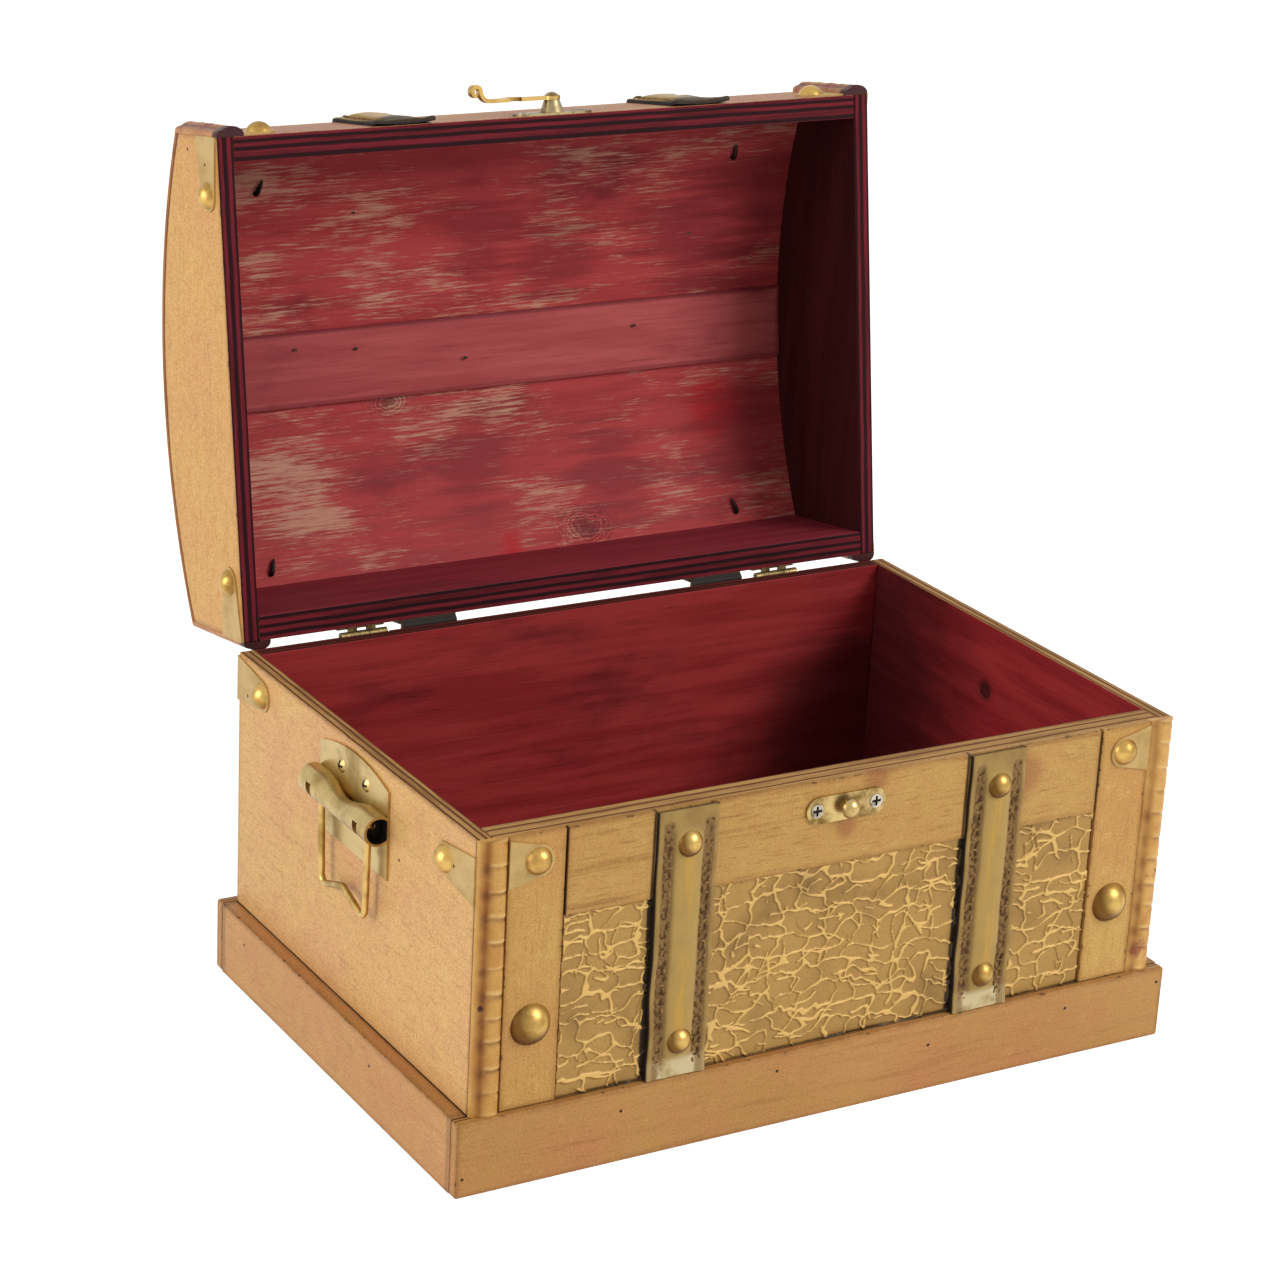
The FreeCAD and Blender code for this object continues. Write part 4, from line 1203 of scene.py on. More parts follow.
@dataclass
class EmbossedSheet:
    """The sheet with a raised crackle of veins."""

    pitch: float = 0.35
    rise: float = 0.70
    half_width: float = 0.60
    uneven: float = 0.22
    chunk: int = 4096
    nets: tuple[VeinNet, ...] = (
        VeinNet(23, 7.8, 1.4, 0.93, 0.31),
        VeinNet(43, 6.4, 1.3, 0.40, 0.30, 28, 24.0, (-0.7, -0.2)),
        VeinNet(63, 4.6, 3.6, 0.36, 0.22, 32, 26.0, (-0.2, 0.3)),
    )
    crest: tuple[float, float] = (0.38, 0.86)
    # painted shadow on the sheet left of each strap, and a darkening towards the sheet's bottom edge
    strap_shadow_edges: tuple[float, float] = (-76.5, 52.5)
    strap_shadow_reach: float = 6.0
    foot_darkening: float = 0.45
    finish: EmbossedFinish = EmbossedFinish()

    def cracks(self, x: np.ndarray, z: np.ndarray, net: VeinNet) -> np.ndarray:
        """Runs a net of veins between scattered points.

        Args:
            x: left to right, for each point of the sheet.
            z: height, for each point of the sheet.
            net: the net.

        Returns:
            How strongly a vein runs through each point.
        """
        draw = np.random.default_rng(net.seed)
        seed, cell, flat = net.seed, net.cell, net.flat
        bend_x = 1.5 * Ripple(seed + 1, 24.0).at(x, z) + 0.35 * Ripple(seed + 2, 7.0).at(x, z)
        bend_z = 1.3 * Ripple(seed + 3, 24.0).at(x, z) + 0.35 * Ripple(seed + 4, 7.0).at(x, z)
        place = np.stack([(x + bend_x) / flat, z + bend_z], axis=-1).reshape(-1, 2)
        low = place.min(axis=0) - cell
        counts = np.ceil((place.max(axis=0) + cell - low) / cell).astype(int)
        steps = np.stack(np.meshgrid(*[np.arange(count) for count in counts], indexing="ij"), axis=-1)
        stray = draw.uniform(-net.loose, net.loose, (steps.size // 2, 2))
        seeds = low + cell * (steps.reshape(-1, 2) + 0.5 + stray)
        width = self.half_width * (1.0 + self.uneven * Ripple(seed + 6, 15.0).at(x, z)).reshape(-1)
        strength = np.zeros(len(place))
        for start in range(0, len(place), self.chunk):
            own = slice(start, start + self.chunk)
            part = place[own]
            away = ((part[:, None, :] - seeds[None, :, :]) ** 2).sum(axis=-1)
            order = np.argpartition(away, 3, axis=1)[:, :3]
            near = np.take_along_axis(away, order, axis=1)
            rank = np.argsort(near, axis=1)
            order = np.take_along_axis(order, rank, axis=1)
            near = np.take_along_axis(near, rank, axis=1)
            total = np.zeros(len(part))
            for other in (1, 2):
                apart = seeds[order[:, 0]] - seeds[order[:, other]]
                gap = np.linalg.norm(apart, axis=1)
                slope = np.hypot(apart[:, 0] / flat, apart[:, 1]) / gap
                off = (near[:, other] - near[:, 0]) / (2.0 * gap * slope * width[own])
                first = np.minimum(order[:, 0], order[:, other])
                second = np.maximum(order[:, 0], order[:, other])
                chance = np.modf(np.abs(np.sin(first * 12.9898 + second * 78.233)) * 437.585)[0]
                total += (chance < net.keep) * np.exp(-(off**2)) / other**0.5
            strength[own] = total
        return strength.reshape(x.shape)

    def veins(self, x: np.ndarray, z: np.ndarray) -> np.ndarray:
        """How far the veins are raised, 0 to 1.

        Args:
            x: left to right, for each point of the sheet.
            z: height, for each point of the sheet.

        Returns:
            The rise at each point.
        """
        layers = []
        for net in self.nets:
            layer = self.cracks(x, z, net)
            if net.patch_size:
                layer *= ease(Ripple(net.patch_seed, net.patch_size).at(x, z), *net.patch_edge)
            layers.append(ease(layer, *self.crest))
        return np.maximum.reduce(layers)

    def build(self) -> None:
        """Makes the sheet in place of its flat solid."""
        low, high = (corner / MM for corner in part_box("embossed_panel"))
        across = np.linspace(low.x, high.x, round((high.x - low.x) / self.pitch) + 1)
        rising = np.linspace(low.z, high.z, round((high.z - low.z) / self.pitch) + 1)
        x, z = np.meshgrid(across, rising)
        vein = self.veins(x, z)
        y = low.y - self.rise * vein
        rows, columns = x.shape
        points = np.stack([x, y, z], axis=-1).reshape(-1, 3)
        faces: list[tuple[int, ...]] = []
        for row in range(rows - 1):
            for column in range(columns - 1):
                corner = row * columns + column
                faces.append((corner, corner + 1, corner + columns + 1, corner + columns))
        rim = list(range(columns))
        rim += [row * columns + columns - 1 for row in range(1, rows)]
        rim += [(rows - 1) * columns + column for column in range(columns - 2, -1, -1)]
        rim += [row * columns for row in range(rows - 2, 0, -1)]
        back = points[rim].copy()
        back[:, 1] = high.y
        first = len(points)
        for step in range(len(rim)):
            turn = (step + 1) % len(rim)
            faces.append((rim[turn], rim[step], first + step, first + turn))
        faces.append(tuple(range(first, first + len(rim))))
        points = np.concatenate([points, back])
        # painted shadow left of each strap, then darker towards the bottom edge
        dirt_and_shade = np.zeros(x.shape)
        for edge in self.strap_shadow_edges:
            dirt_and_shade = np.maximum(dirt_and_shade, ease(x, edge - 2.2, edge - 0.3))
            dirt_and_shade = np.where(x > edge + self.strap_shadow_reach, 0.0, dirt_and_shade)
        dirt_and_shade = np.maximum(dirt_and_shade, self.foot_darkening * ease(-z, -low.z - 2.0, -low.z))
        bare = np.zeros(len(rim))
        marks = {}
        for mark, values in (("vein", vein), ("dirt_and_shade", dirt_and_shade)):
            marks[mark] = np.concatenate([values.reshape(-1), bare])
        finish = self.finish.material("embossed_finish")
        sheet = add_piece("embossed_sheet", (points, faces), Body.CHEST, finish, 80.0, marks)
        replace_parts(sheet, "embossed_panel")


@dataclass
class Beads:
    """Half round corner beads with ribs along them and a trough down one side."""

    width: float = 11.0
    rise: float = 4.0
    pitch: float = 9.2
    around: int = 25
    step: float = 0.4
    lip: float = 0.07
    groove: float = 0.09
    trough: float = 0.16
    trough_turn: float = 2.2
    trough_half: float = 0.36
    rub_at: float = 14.0
    rub_reach: float = 7.0
    rub_strength: float = 0.7
    stained_end: float = 5.0
    seeds: tuple[int, int] = (60, 70)
    paint: BeadPaint = BeadPaint()
    right_paint: BeadPaint = BeadPaint(
        base=tint(220, 172, 98), trough=tint(180, 130, 68), dirt_and_shade=tint(130, 76, 32), wear=0.6
    )
    lid_paint: BeadPaint = BeadPaint(
        base=tint(196, 144, 92), warm=tint(180, 116, 78), trough=tint(132, 74, 46), wear=0.75
    )

    def section(self, along: float, end: float, seed: int) -> tuple[Outline, Marks]:
        """The bead's outline at one height.

        Args:
            along: how far up the bead.
            end: how far up the bead its first end stays stained.
            seed: start of the random draws.

        Returns:
            Offsets across and out, round the outline, and the marks of each point.
        """
        wobble = Ripple(seed, 16.0)
        outline = []
        marks: Marks = {"lip": [], "trough": [], "dirt_and_shade": [], "foot": [], "cut": []}
        for step in range(self.around):
            turn = math.pi * (1.0 - step / (self.around - 1))
            lean = along + 0.9 * math.cos(turn) + 0.5 * float(wobble.at(along, 3.0))
            past = (lean + 0.5 * self.pitch) % self.pitch - 0.5 * self.pitch
            ribbed = float(ease(np.array(2.0 - turn), -0.1, 0.3))
            strong = 0.75 + 0.25 * float(wobble.at(0.6 * along, 9.0 * turn))
            lip = ribbed * strong * math.exp(-(((past - 0.6) / 0.6) ** 2))
            groove = ribbed * math.exp(-(((past + 0.7) / 0.9) ** 2))
            trough = math.exp(-(((turn - self.trough_turn) / self.trough_half) ** 2))
            size = 0.96 + self.lip * lip - self.groove * groove - self.trough * trough
            size += 0.008 * float(wobble.at(along, 40.0 * turn))
            reach = min(1.0, size + 0.05)
            reach += (1.0 - reach) * float(ease(np.array(abs(math.cos(turn))), 0.8, 1.0))
            off = 0.5 * self.width * math.cos(turn) * reach
            outline.append((off, self.rise * math.sin(turn) ** 0.8 * size))
            # marks for a painted highlight on the lips, and painted shade in the trough and grooves
            marks["lip"].append(lip)
            marks["trough"].append(trough)
            marks["dirt_and_shade"].append(max(0.8 * trough * math.exp(-(((past + 1.6) / 2.4) ** 2)), 0.6 * groove))
            rubbed = math.exp(-(((along - self.rub_at) / self.rub_reach) ** 2) - ((turn - 1.7) / 0.7) ** 2)
            rubbed *= self.rub_strength
            marks["foot"].append(max(rubbed, float(ease(np.array(0.45 - turn), 0.0, 0.3))))
            marks["cut"].append(1.0 - float(ease(np.array(along), 0.5 * end, end + 0.01)) if end else 0.0)
        return outline, marks

    def build(self) -> None:
        """Makes the beads of the box and of the lid."""
        gold = {
            "left": self.paint.material("bead_paint"),
            "right": self.right_paint.material("right_bead_paint"),
        }
        dark = self.lid_paint.material("lid_bead_paint")
        for number, side in enumerate(("left", "right")):
            low, high = (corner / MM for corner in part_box("%s_corner_bead" % side))
            middle = 0.5 * (low.x + high.x)
            spots = []
            for level in np.linspace(low.z, high.z, round((high.z - low.z) / self.step) + 1):
                outline, marks = self.section(level - low.z, 0.0, self.seeds[0] + number)
                spots.append(([(middle + off, high.y - out, level) for off, out in outline], marks))
            self.bead(side + "_bead", spots, Body.CHEST, gold[side], "%s_corner_bead" % side)
        ends = [(end, side) for end in ("front", "back") for side in ("left", "right")]
        for number, (end, side) in enumerate(ends):
            node = "lid_%s_%s_bead" % (end, side)
            board = Board.of(node, True)
            low = np.array(board.low) / MM
            high = np.array(board.high) / MM
            middle = 0.5 * (low[0] + high[0])
            face = (high[1] if end == "front" else low[1]) - PIN_Y
            way = -1.0 if end == "front" else 1.0
            levels = np.linspace(low[2], high[2], round((high[2] - low[2]) / self.step) + 1) - PIN_Z
            spots = []
            for level in levels:
                outline, marks = self.section(level - levels[0], self.stained_end, self.seeds[1] + number)
                ring = [lid_point(middle + off, face + way * out, level) for off, out in outline]
                spots.append((ring, marks))
            self.bead(node + "_ribbed", spots, Body.LID, dark, node)

    def bead(
        self,
        name: str,
        spots: Sequence[tuple[list[Triple], Marks]],
        body: Body,
        material: bpy.types.Material,
        node: str,
    ) -> None:
        """Joins the outlines of one bead.

        Args:
            name: the piece's name.
            spots: the outline at each height and the marks of its points.
            body: the body that carries it.
            material: its finish.
            node: the CAD node that it stands for.
        """
        marks = {}
        for mark in spots[0][1]:
            marks[mark] = np.array([value for _, own in spots for value in own[mark]])
        rings = np.array([ring for ring, _ in spots])
        piece = add_piece(name, loft(rings), body, material, 50.0, marks)
        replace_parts(piece, node)


@dataclass
class StrapRun:
    """The line that a strap follows in the YZ plane, the way it faces there, and where its underside lies."""

    path: Outline
    facing: Outline
    under: np.ndarray
    raised: float = 0.0

    def lengths(self) -> np.ndarray:
        """How far each point lies along the line."""
        steps = np.linalg.norm(np.diff(np.array(self.path), axis=0), axis=1)
        return np.concatenate([[0.0], np.cumsum(steps)])


@dataclass
class Straps:
    """Leather straps with a raised band and stitched channels."""

    width: float = 24.0
    spread: float = 64.5
    step: float = 1.2
    edge_height: float = 1.7
    channel_height: float = 1.05
    band_height: float = 2.95
    band_half: float = 5.7
    channel_middle: float = 8.0
    stitch_pitch: float = 3.6
    rail_step: float = 1.0
    rail_foot: tuple[float, float] = (95.0, 98.5)
    foot: float = 28.7
    front_top: float = 130.01
    back_top: float = 128.01
    front_face: float = -96.75
    back_face: float = 95.55
    lid_back: float = -2.9
    lid_front: float = -189.9
    lid_rim: float = 0.8
    lid_gap: float = 0.05
    turned: float = 0.6
    bridge_inner: tuple[tuple[float, float], ...] = ((95.6, 127.6), (95.6, 129.0), (95.9, 130.6))
    bridge_outer: tuple[tuple[float, float], ...] = ((97.3, 127.6), (97.3, 128.6), (97.6, 129.2))
    bridge_inset: float = 0.3
    bridge_columns: int = 9
    bridge_splits: int = 4
    seeds: tuple[int, int, int] = (100, 110, 120)
    curls: tuple[float, float, float] = (0.7, 0.3, 1.0)
    finish: StrapLeather = StrapLeather()
    thread: PlainDark = PlainDark(tint(98, 70, 42), tint(152, 118, 74), 0.85)
    columns: tuple[float, ...] = (
        1.5, 3.0, 4.2, 5.0, 5.5, 5.8, 6.4, 7.0, 8.0, 9.0, 9.6, 10.2, 11.0, 11.6, 11.9, 12.0
    )
    across: np.ndarray = field(init=False)
    leather: bpy.types.Material = field(init=False)
    sewing: bpy.types.Material = field(init=False)

    def __post_init__(self) -> None:
        """Mixes the finishes, and sets the points of a strap's outline to both sides of its middle."""
        self.across = np.array([-off for off in reversed(self.columns)] + [0.0, *self.columns])
        self.leather = self.finish.material("strap_leather")
        self.sewing = self.thread.material("strap_thread")

    def front_run(self) -> StrapRun:
        """Runs up the front of the box, over the embossed sheet and the rail.

        Returns:
            The run.
        """
        levels = np.arange(self.foot, self.front_top, self.step)
        under = self.rail_step * ease(levels, *self.rail_foot)
        path = [(self.front_face, level) for level in levels]
        return StrapRun(path, [(-1.0, 0.0)] * len(levels), under, self.rail_step)

    def back_run(self) -> StrapRun:
        """Runs up the back of the box.

        Returns:
            The run.
        """
        levels = np.arange(self.foot, self.back_top, self.step)
        path = [(self.back_face, level) for level in levels]
        return StrapRun(path, [(1.0, 0.0)] * len(levels), np.zeros(len(levels)))

    def lid_run(self) -> StrapRun:
        """Runs from the lid's front rim over the dome to its back rim.

        Returns:
            The run.
        """
        first = math.asin((self.lid_front - DOME_ALONG) / DOME_OUTSIDE)
        last = math.asin((self.lid_back - DOME_ALONG) / DOME_OUTSIDE)
        front_top = DOME_UP + DOME_OUTSIDE * math.cos(first)
        back_top = DOME_UP + DOME_OUTSIDE * math.cos(last)
        spots: list[tuple[float, float, float]] = []
        for v in np.arange(self.lid_rim + 0.2, front_top - self.turned, self.step):
            spots.append((self.lid_front - self.lid_gap, v, -0.5 * math.pi))
        for turn in np.arange(first, last, self.step / DOME_OUTSIDE):
            u = DOME_ALONG + (DOME_OUTSIDE + self.lid_gap) * math.sin(turn)
            v = DOME_UP + (DOME_OUTSIDE + self.lid_gap) * math.cos(turn)
            spots.append((u, v, turn))
        for v in np.arange(back_top - self.turned, self.lid_rim, -self.step):
            spots.append((self.lid_back + self.lid_gap, v, 0.5 * math.pi))
        turns = np.array([turn for _, _, turn in spots])
        soft = np.convolve(np.pad(turns, 3, mode="edge"), np.ones(7) / 7.0, mode="valid")
        path = [lid_point(0.0, u, v)[1:] for u, v, _ in spots]
        facing = []
        for turn in soft:
            out = math.sin(turn) * LID_ALONG + math.cos(turn) * LID_UP
            facing.append((out.y, out.z))
        return StrapRun(path, facing, np.zeros(len(path)))

    def profile(self, along: float, total: float, seed: int) -> tuple[np.ndarray, np.ndarray, np.ndarray]:
        """The strap's upper outline at one place along it.

        Args:
            along: how far along the strap.
            total: the strap's length.
            seed: start of the random draws.

        Returns:
            The offsets across, the heights, and how far each point is up the band.
        """
        x = self.across
        off = np.abs(x)
        end = min(along, total - along)
        full = float(ease(np.array(end), 3.5, 10.5))
        rough = Ripple(seed, 21.0)
        band = np.sqrt(np.clip(1.0 - (off / self.band_half) ** 2, 0.0, 1.0)) ** 0.8
        height = np.full(len(x), self.edge_height)
        channel = np.exp(-(((off - self.channel_middle) / 1.7) ** 2)) * (0.35 + 0.65 * full)
        height -= (self.edge_height - self.channel_height) * channel
        height += (self.band_height - self.edge_height) * band * full
        height += 0.14 * rough.at(x, along) + 0.10 * np.exp(-((off - 10.6) ** 2))
        height *= np.where(off > 11.95, 0.35, np.where(off > 11.8, 0.72, np.where(off > 11.3, 0.93, 1.0)))
        sway = 0.16 * float(rough.at(90.0, along))
        edge = x + sway * np.sign(x) * ease(off, 6.0, 12.0) * np.sign(rough.at(x, 300.0))
        return edge, np.maximum(height, 0.3), band * full

    def strap(
        self, name: str, run: StrapRun, middle: float, body: Body, seed: int, curl: float, pale_end: bool
    ) -> bpy.types.Object:
        """Makes one strap and its thread.

        Args:
            name: the piece's name.
            run: the line that it follows.
            middle: left to right, the strap's middle.
            body: the body that carries it.
            seed: start of the random draws.
            curl: how far its first end lifts.
            pale_end: whether that end is worn pale, and dark otherwise.

        Returns:
            The strap.
        """
        lengths = run.lengths()
        total = float(lengths[-1])
        rings = []
        marks: Marks = {"band": [], "channel": [], "pale": [], "side": []}
        off = np.abs(self.across)
        for (y, z), (out_y, out_z), along, under in zip(run.path, run.facing, lengths, run.under):
            edge, height, band = self.profile(along, total, seed)
            height = height + run.raised
            lift = curl * float(ease(np.array(7.0 - along), 0.0, 7.0)) * (0.4 + 0.6 * (off / 12.0) ** 2)
            ring = [(middle + a, y + h * out_y, z + h * out_z) for a, h in zip(edge, height + lift)]
            below = (lift + under)[::-1]
            ring += [(middle + a, y + h * out_y, z + h * out_z) for a, h in zip(edge[::-1], below)]
            rings.append(ring)
            flat = np.zeros(len(off))
            groove = np.exp(-(((off - self.channel_middle) / 2.3) ** 4))
            groove *= ease(np.array(total - along), 2.5, 6.0)
            worn = float(ease(np.array(8.5 - along), 0.0, 2.5))
            pale = worn * np.where(off < 8.0, 1.0, 0.25) * pale_end
            dark = 0.0 if pale_end else 0.85 * float(ease(np.array(16.0 - along), 0.0, 9.0))
            marks["band"] += [*band, *flat]
            marks["channel"] += [*groove, *flat]
            marks["pale"] += [*pale, *flat]
            # the side faces take the dark side colour as dye and painted shade; the undersides take it as
            # painted shade
            marks["side"] += [*np.where(off > 11.7, 1.0, dark), *(flat + 1.0)]
        values = {mark: np.array(row) for mark, row in marks.items()}
        shape = loft(np.array(rings))
        piece = add_piece(name, shape, body, self.leather, 60.0, values)
        self.stitches(name + "_thread", run, middle, body, seed)
        return piece

    def stitches(self, name: str, run: StrapRun, middle: float, body: Body, seed: int) -> None:
        """Sews the channels of one strap.

        Args:
            name: the piece's name.
            run: the line that the strap follows.
            middle: left to right, the strap's middle.
            body: the body that carries it.
            seed: start of the random draws.
        """
        draw = np.random.default_rng(seed)
        lengths = run.lengths()
        total = float(lengths[-1])
        path = np.array(run.path)
        facing = np.array(run.facing)
        lumps = []
        for side in (-1.0, 1.0):
            for along in np.arange(5.0, total - 5.0, self.stitch_pitch):
                spot = along + draw.uniform(-0.4, 0.4)
                y, z = (np.interp(spot, lengths, path[:, axis]) for axis in (0, 1))
                tilt = [np.interp(spot, lengths, facing[:, axis]) for axis in (0, 1)]
                out = Vector((0.0, *tilt)).normalized()
                run_way = RIGHT.cross(out)
                lean = draw.uniform(-0.35, 0.35)
                way = math.cos(lean) * run_way + math.sin(lean) * RIGHT
                cross = way.cross(out)
                height = self.channel_height + run.raised + 0.22
                for shift in (-1.35, 1.25):
                    core = Vector((middle + side * (self.channel_middle + shift), y, z)) + height * out
                    core += draw.uniform(-0.7, 0.7) * run_way + draw.uniform(-0.3, 0.3) * cross
                    length = draw.uniform(1.0, 1.7)
                    girth = draw.uniform(0.55, 0.85)
                    lumps.append(pebble(tuple(core), (length * way, girth * cross, 0.6 * out)))
                knot = Vector((middle + side * self.channel_middle, y, z)) + height * out + 1.8 * run_way
                reach = draw.uniform(1.0, 1.9)
                lumps.append(pebble(tuple(knot), (reach * cross, 0.5 * way, 0.5 * out)))
        add_piece(name, merge(lumps), body, self.sewing, 180.0)

    def smoothed(self, corners: Sequence[tuple[float, float]]) -> Outline:
        """Adds points between the corners of a bridge's outline.

        Args:
            corners: the outline's corners.

        Returns:
            The corners and the points between them.
        """
        last = len(corners) - 1
        steps = np.linspace(0.0, last, self.bridge_splits * last + 1)
        rows = [np.interp(steps, range(len(corners)), part) for part in zip(*corners)]
        return [(float(y), float(z)) for y, z in zip(*rows)]

    def bridge(self, name: str, middle: float) -> bpy.types.Object:
        """Joins a back strap of the box to its strap on the lid, across the hinge line.

        Args:
            name: the piece's name.
            middle: left to right, the strap's middle.

        Returns:
            The bridge.
        """
        lid_in = lid_point(0.0, self.lid_back, self.lid_rim)[1:]
        lid_out = lid_point(0.0, self.lid_back + self.edge_height, self.lid_rim)[1:]
        inner = self.smoothed([*self.bridge_inner, lid_in])
        outer = self.smoothed([*self.bridge_outer, lid_out])
        reach = 0.5 * self.width - self.bridge_inset
        steps = np.linspace(-reach, reach, self.bridge_columns)
        rings = []
        for (in_y, in_z), (out_y, out_z) in zip(inner, outer):
            ring = [(middle + a, in_y, in_z) for a in steps]
            ring += [(middle + a, out_y, out_z) for a in steps[::-1]]
            rings.append(ring)
        points, faces = loft(np.array(rings))
        marks = {mark: np.zeros(len(points)) for mark in ("band", "channel", "pale")}
        # the bridge's inner face, in the hinge gap, takes the dark side colour as painted shade
        marks["side"] = np.tile(np.repeat([1.0, 0.0], self.bridge_columns), len(inner))
        piece = add_piece(name, (points, faces), None, self.leather, 60.0, marks)
        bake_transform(piece)
        return piece

    def build(self) -> None:
        """Makes every strap, its thread and its bridge."""
        middles = {"left": -self.spread, "right": self.spread}
        for number, (side, middle) in enumerate(middles.items()):
            plans = (
                ("_front_strap", self.front_run(), Body.CHEST, side + "_strap"),
                ("_rear_strap", self.back_run(), Body.CHEST, side + "_back_strap"),
                ("_lid_strap", self.lid_run(), Body.LID, "lid_%s_strap" % side),
            )
            for (name, run, body, node), seed, curl in zip(plans, self.seeds, self.curls):
                pale_end = body is Body.CHEST
                piece = self.strap(side + name, run, middle, body, seed + number, curl, pale_end)
                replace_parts(piece, node)
        for side, middle in middles.items():
            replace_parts(self.bridge(side + "_strap_bridge", middle), "strap_bridges")


@dataclass
class Lid:
    """The lid's boards, dome and batten, and what shows inside them."""

    edge_round: float = 0.5
    batten_round: float = 0.3
    nail_spread: float = 106.3
    nail_places: tuple[float, float] = (-164.4, -16.4)
    tip_path: tuple[tuple[float, float], ...] = ((-0.3, 0.0), (0.9, 0.0), (1.5, 0.9), (1.5, 4.0), (1.1, 6.2))
    tip_radii: tuple[float, ...] = (1.0, 1.0, 0.95, 0.8, 0.25)
    tip_seed: int = 5
    end_paint: GoldPaint = GoldPaint(
        base=tint(212, 162, 90),
        warm=tint(210, 154, 92),
        pale=tint(222, 178, 106),
        grain=0.15,
        along=Axis.Z,
        rounded=True,
    )
    sheet_edge: PlyEdge = PlyEdge(tint(168, 112, 62), tint(84, 46, 22), ())
    board_paint: GoldPaint = GoldPaint(
        base=tint(182, 130, 86), warm=tint(170, 104, 76), pale=tint(206, 160, 104), smudge=0.38
    )
    dome_paint: GoldPaint = GoldPaint(grain=0.35)
    dome_stain_and_shade: RedStain = RedStain(
        deep=tint(114, 30, 38),
        base=tint(161, 50, 53),
        bright=tint(180, 64, 66),
        ring=tint(88, 20, 26),
        worn=0.85,
        pool_darkness=0.45,
        streaky=2.6,
        uneven=0.8,
        knots=(Knot(under_dome(34.0, -18.0), 15.0), Knot(under_dome(-48.0, -77.0), 10.0)),
        # the pools at x 124 and 126 are painted shadow from the lid's right end; the others are deeper stain
        shade_and_stain_pools=(
            Knot(under_dome(-8.0, -140.0), 24.0),
            Knot(under_dome(28.0, -126.0), 24.0),
            Knot(under_dome(90.0, -132.0), 32.0),
            Knot(under_dome(126.0, -148.0), 40.0),
            Knot(under_dome(-14.0, -46.0), 22.0),
            Knot(under_dome(52.0, -40.0), 26.0),
            Knot(under_dome(124.0, -44.0), 44.0),
        ),
        drops=(Knot(under_dome(0.0, -15.0), 9.0), Knot(under_dome(102.0, -62.0), 17.0)),
        rubs=(
            Knot(under_dome(-58.0, -138.0), 32.0),
            Knot(under_dome(-106.0, -120.0), 40.0),
            Knot(under_dome(-88.0, -42.0), 38.0),
            Knot(under_dome(-34.0, -62.0), 26.0),
            Knot(under_dome(80.0, -36.0), 26.0),
            Knot(under_dome(22.0, -116.0), 22.0),
            Knot(under_dome(30.0, -154.0), 24.0),
        ),
    )
    batten_stain_and_shade: RedStain = RedStain(
        deep=tint(108, 30, 38), base=tint(170, 70, 71), bright=tint(188, 88, 87), uneven=0.85
    )
    board_stain: RedStain = RedStain(deep=tint(70, 16, 24), base=tint(116, 34, 44), bright=tint(132, 42, 52))
    # nearly black: painted shade over the stain on the inner faces of the lid's ends
    end_stain_and_shade: RedStain = RedStain(
        deep=tint(26, 6, 6), base=tint(50, 11, 11), bright=tint(62, 14, 13), along=Axis.Z
    )
    # on these two rims the thickest line, at the inner side, is painted shadow; the others are glue lines
    front_rim: PlyEdge = PlyEdge(LID_EDGE, LID_LINE, ((0.20, 1.3), (0.50, 1.5), (0.94, 2.6)))
    back_rim: PlyEdge = PlyEdge(LID_EDGE, LID_LINE, ((0.04, 2.2), (0.44, 1.4), (0.76, 1.5)))
    end_rim: PlyEdge = PlyEdge(LID_EDGE, LID_LINE, ((0.02, 1.2), (0.46, 1.7), (0.96, 1.6)))
    iron: PlainDark = PlainDark(tint(22, 16, 15), tint(52, 36, 30), 0.5, 0.6)

    def dress(self) -> None:
        """Paints and stains the boards, with painted shade inside the ends and along the batten's edges."""
        stain = self.board_stain.material("lid_board_stain")
        shade = self.end_stain_and_shade.material("lid_end_stain_and_shade")
        inward = {"front": LID_ALONG, "back": -LID_ALONG}
        for side, direction in inward.items():
            node = "lid_%s_board" % side
            board = Board.of(node, True)
            edge = self.front_rim if side == "front" else self.back_rim
            rim = edge.material(node + "_rim", board, 1)
            dress(node, self.board_paint.material(node, board), ((stain, direction), (rim, -LID_UP)))
            soften(node, self.edge_round)
        for side, direction in (("left", RIGHT), ("right", LEFT)):
            node = "lid_%s_end" % side
            board = Board.of(node, True)
            rim = self.end_rim.material(node + "_rim", board, 0)
            dress(node, self.end_paint.material(node, board), ((shade, direction), (rim, -LID_UP)))
            soften(node, self.edge_round)
        worn = self.dome_stain_and_shade.material("lid_dome_stain_and_shade")
        sheet = Board.of("lid_dome_sheet", True)
        paint = self.dome_paint.material("lid_dome_paint", sheet)
        edge = self.sheet_edge.material("lid_dome_edge", sheet, 0)
        dress("lid_dome_sheet", paint, ((worn, -LID_UP), (edge, LEFT), (edge, RIGHT)), 0.4)
        batten = Board.of("lid_crown_batten", True)
        # the batten's board gives it painted shadow along its edges
        dress("lid_crown_batten", self.batten_stain_and_shade.material("lid_batten_stain_and_shade", batten))
        soften("lid_crown_batten", self.batten_round)

    def nail_tips(self) -> None:
        """Bends the tips of the dome's nails over where they come through."""
        iron = self.iron.material("nail_iron")
        draw = np.random.default_rng(self.tip_seed)
        tips = []
        for side in (-1.0, 1.0):
            for u in self.nail_places:
                foot = Vector(under_dome(side * self.nail_spread, u))
                inward = (Vector(lid_point(foot.x, DOME_ALONG, DOME_UP)) - foot).normalized()
                lean = draw.uniform(-0.5, 0.5)
                flat = (math.cos(lean) * inward.cross(RIGHT) + math.sin(lean) * RIGHT).normalized()
                path = [foot + rise * inward + reach * flat for rise, reach in self.tip_path]
                tips.append(tube(path, self.tip_radii, inward.cross(flat).normalized()))
        add_piece("nail_tips", merge(tips), Body.LID, iron)


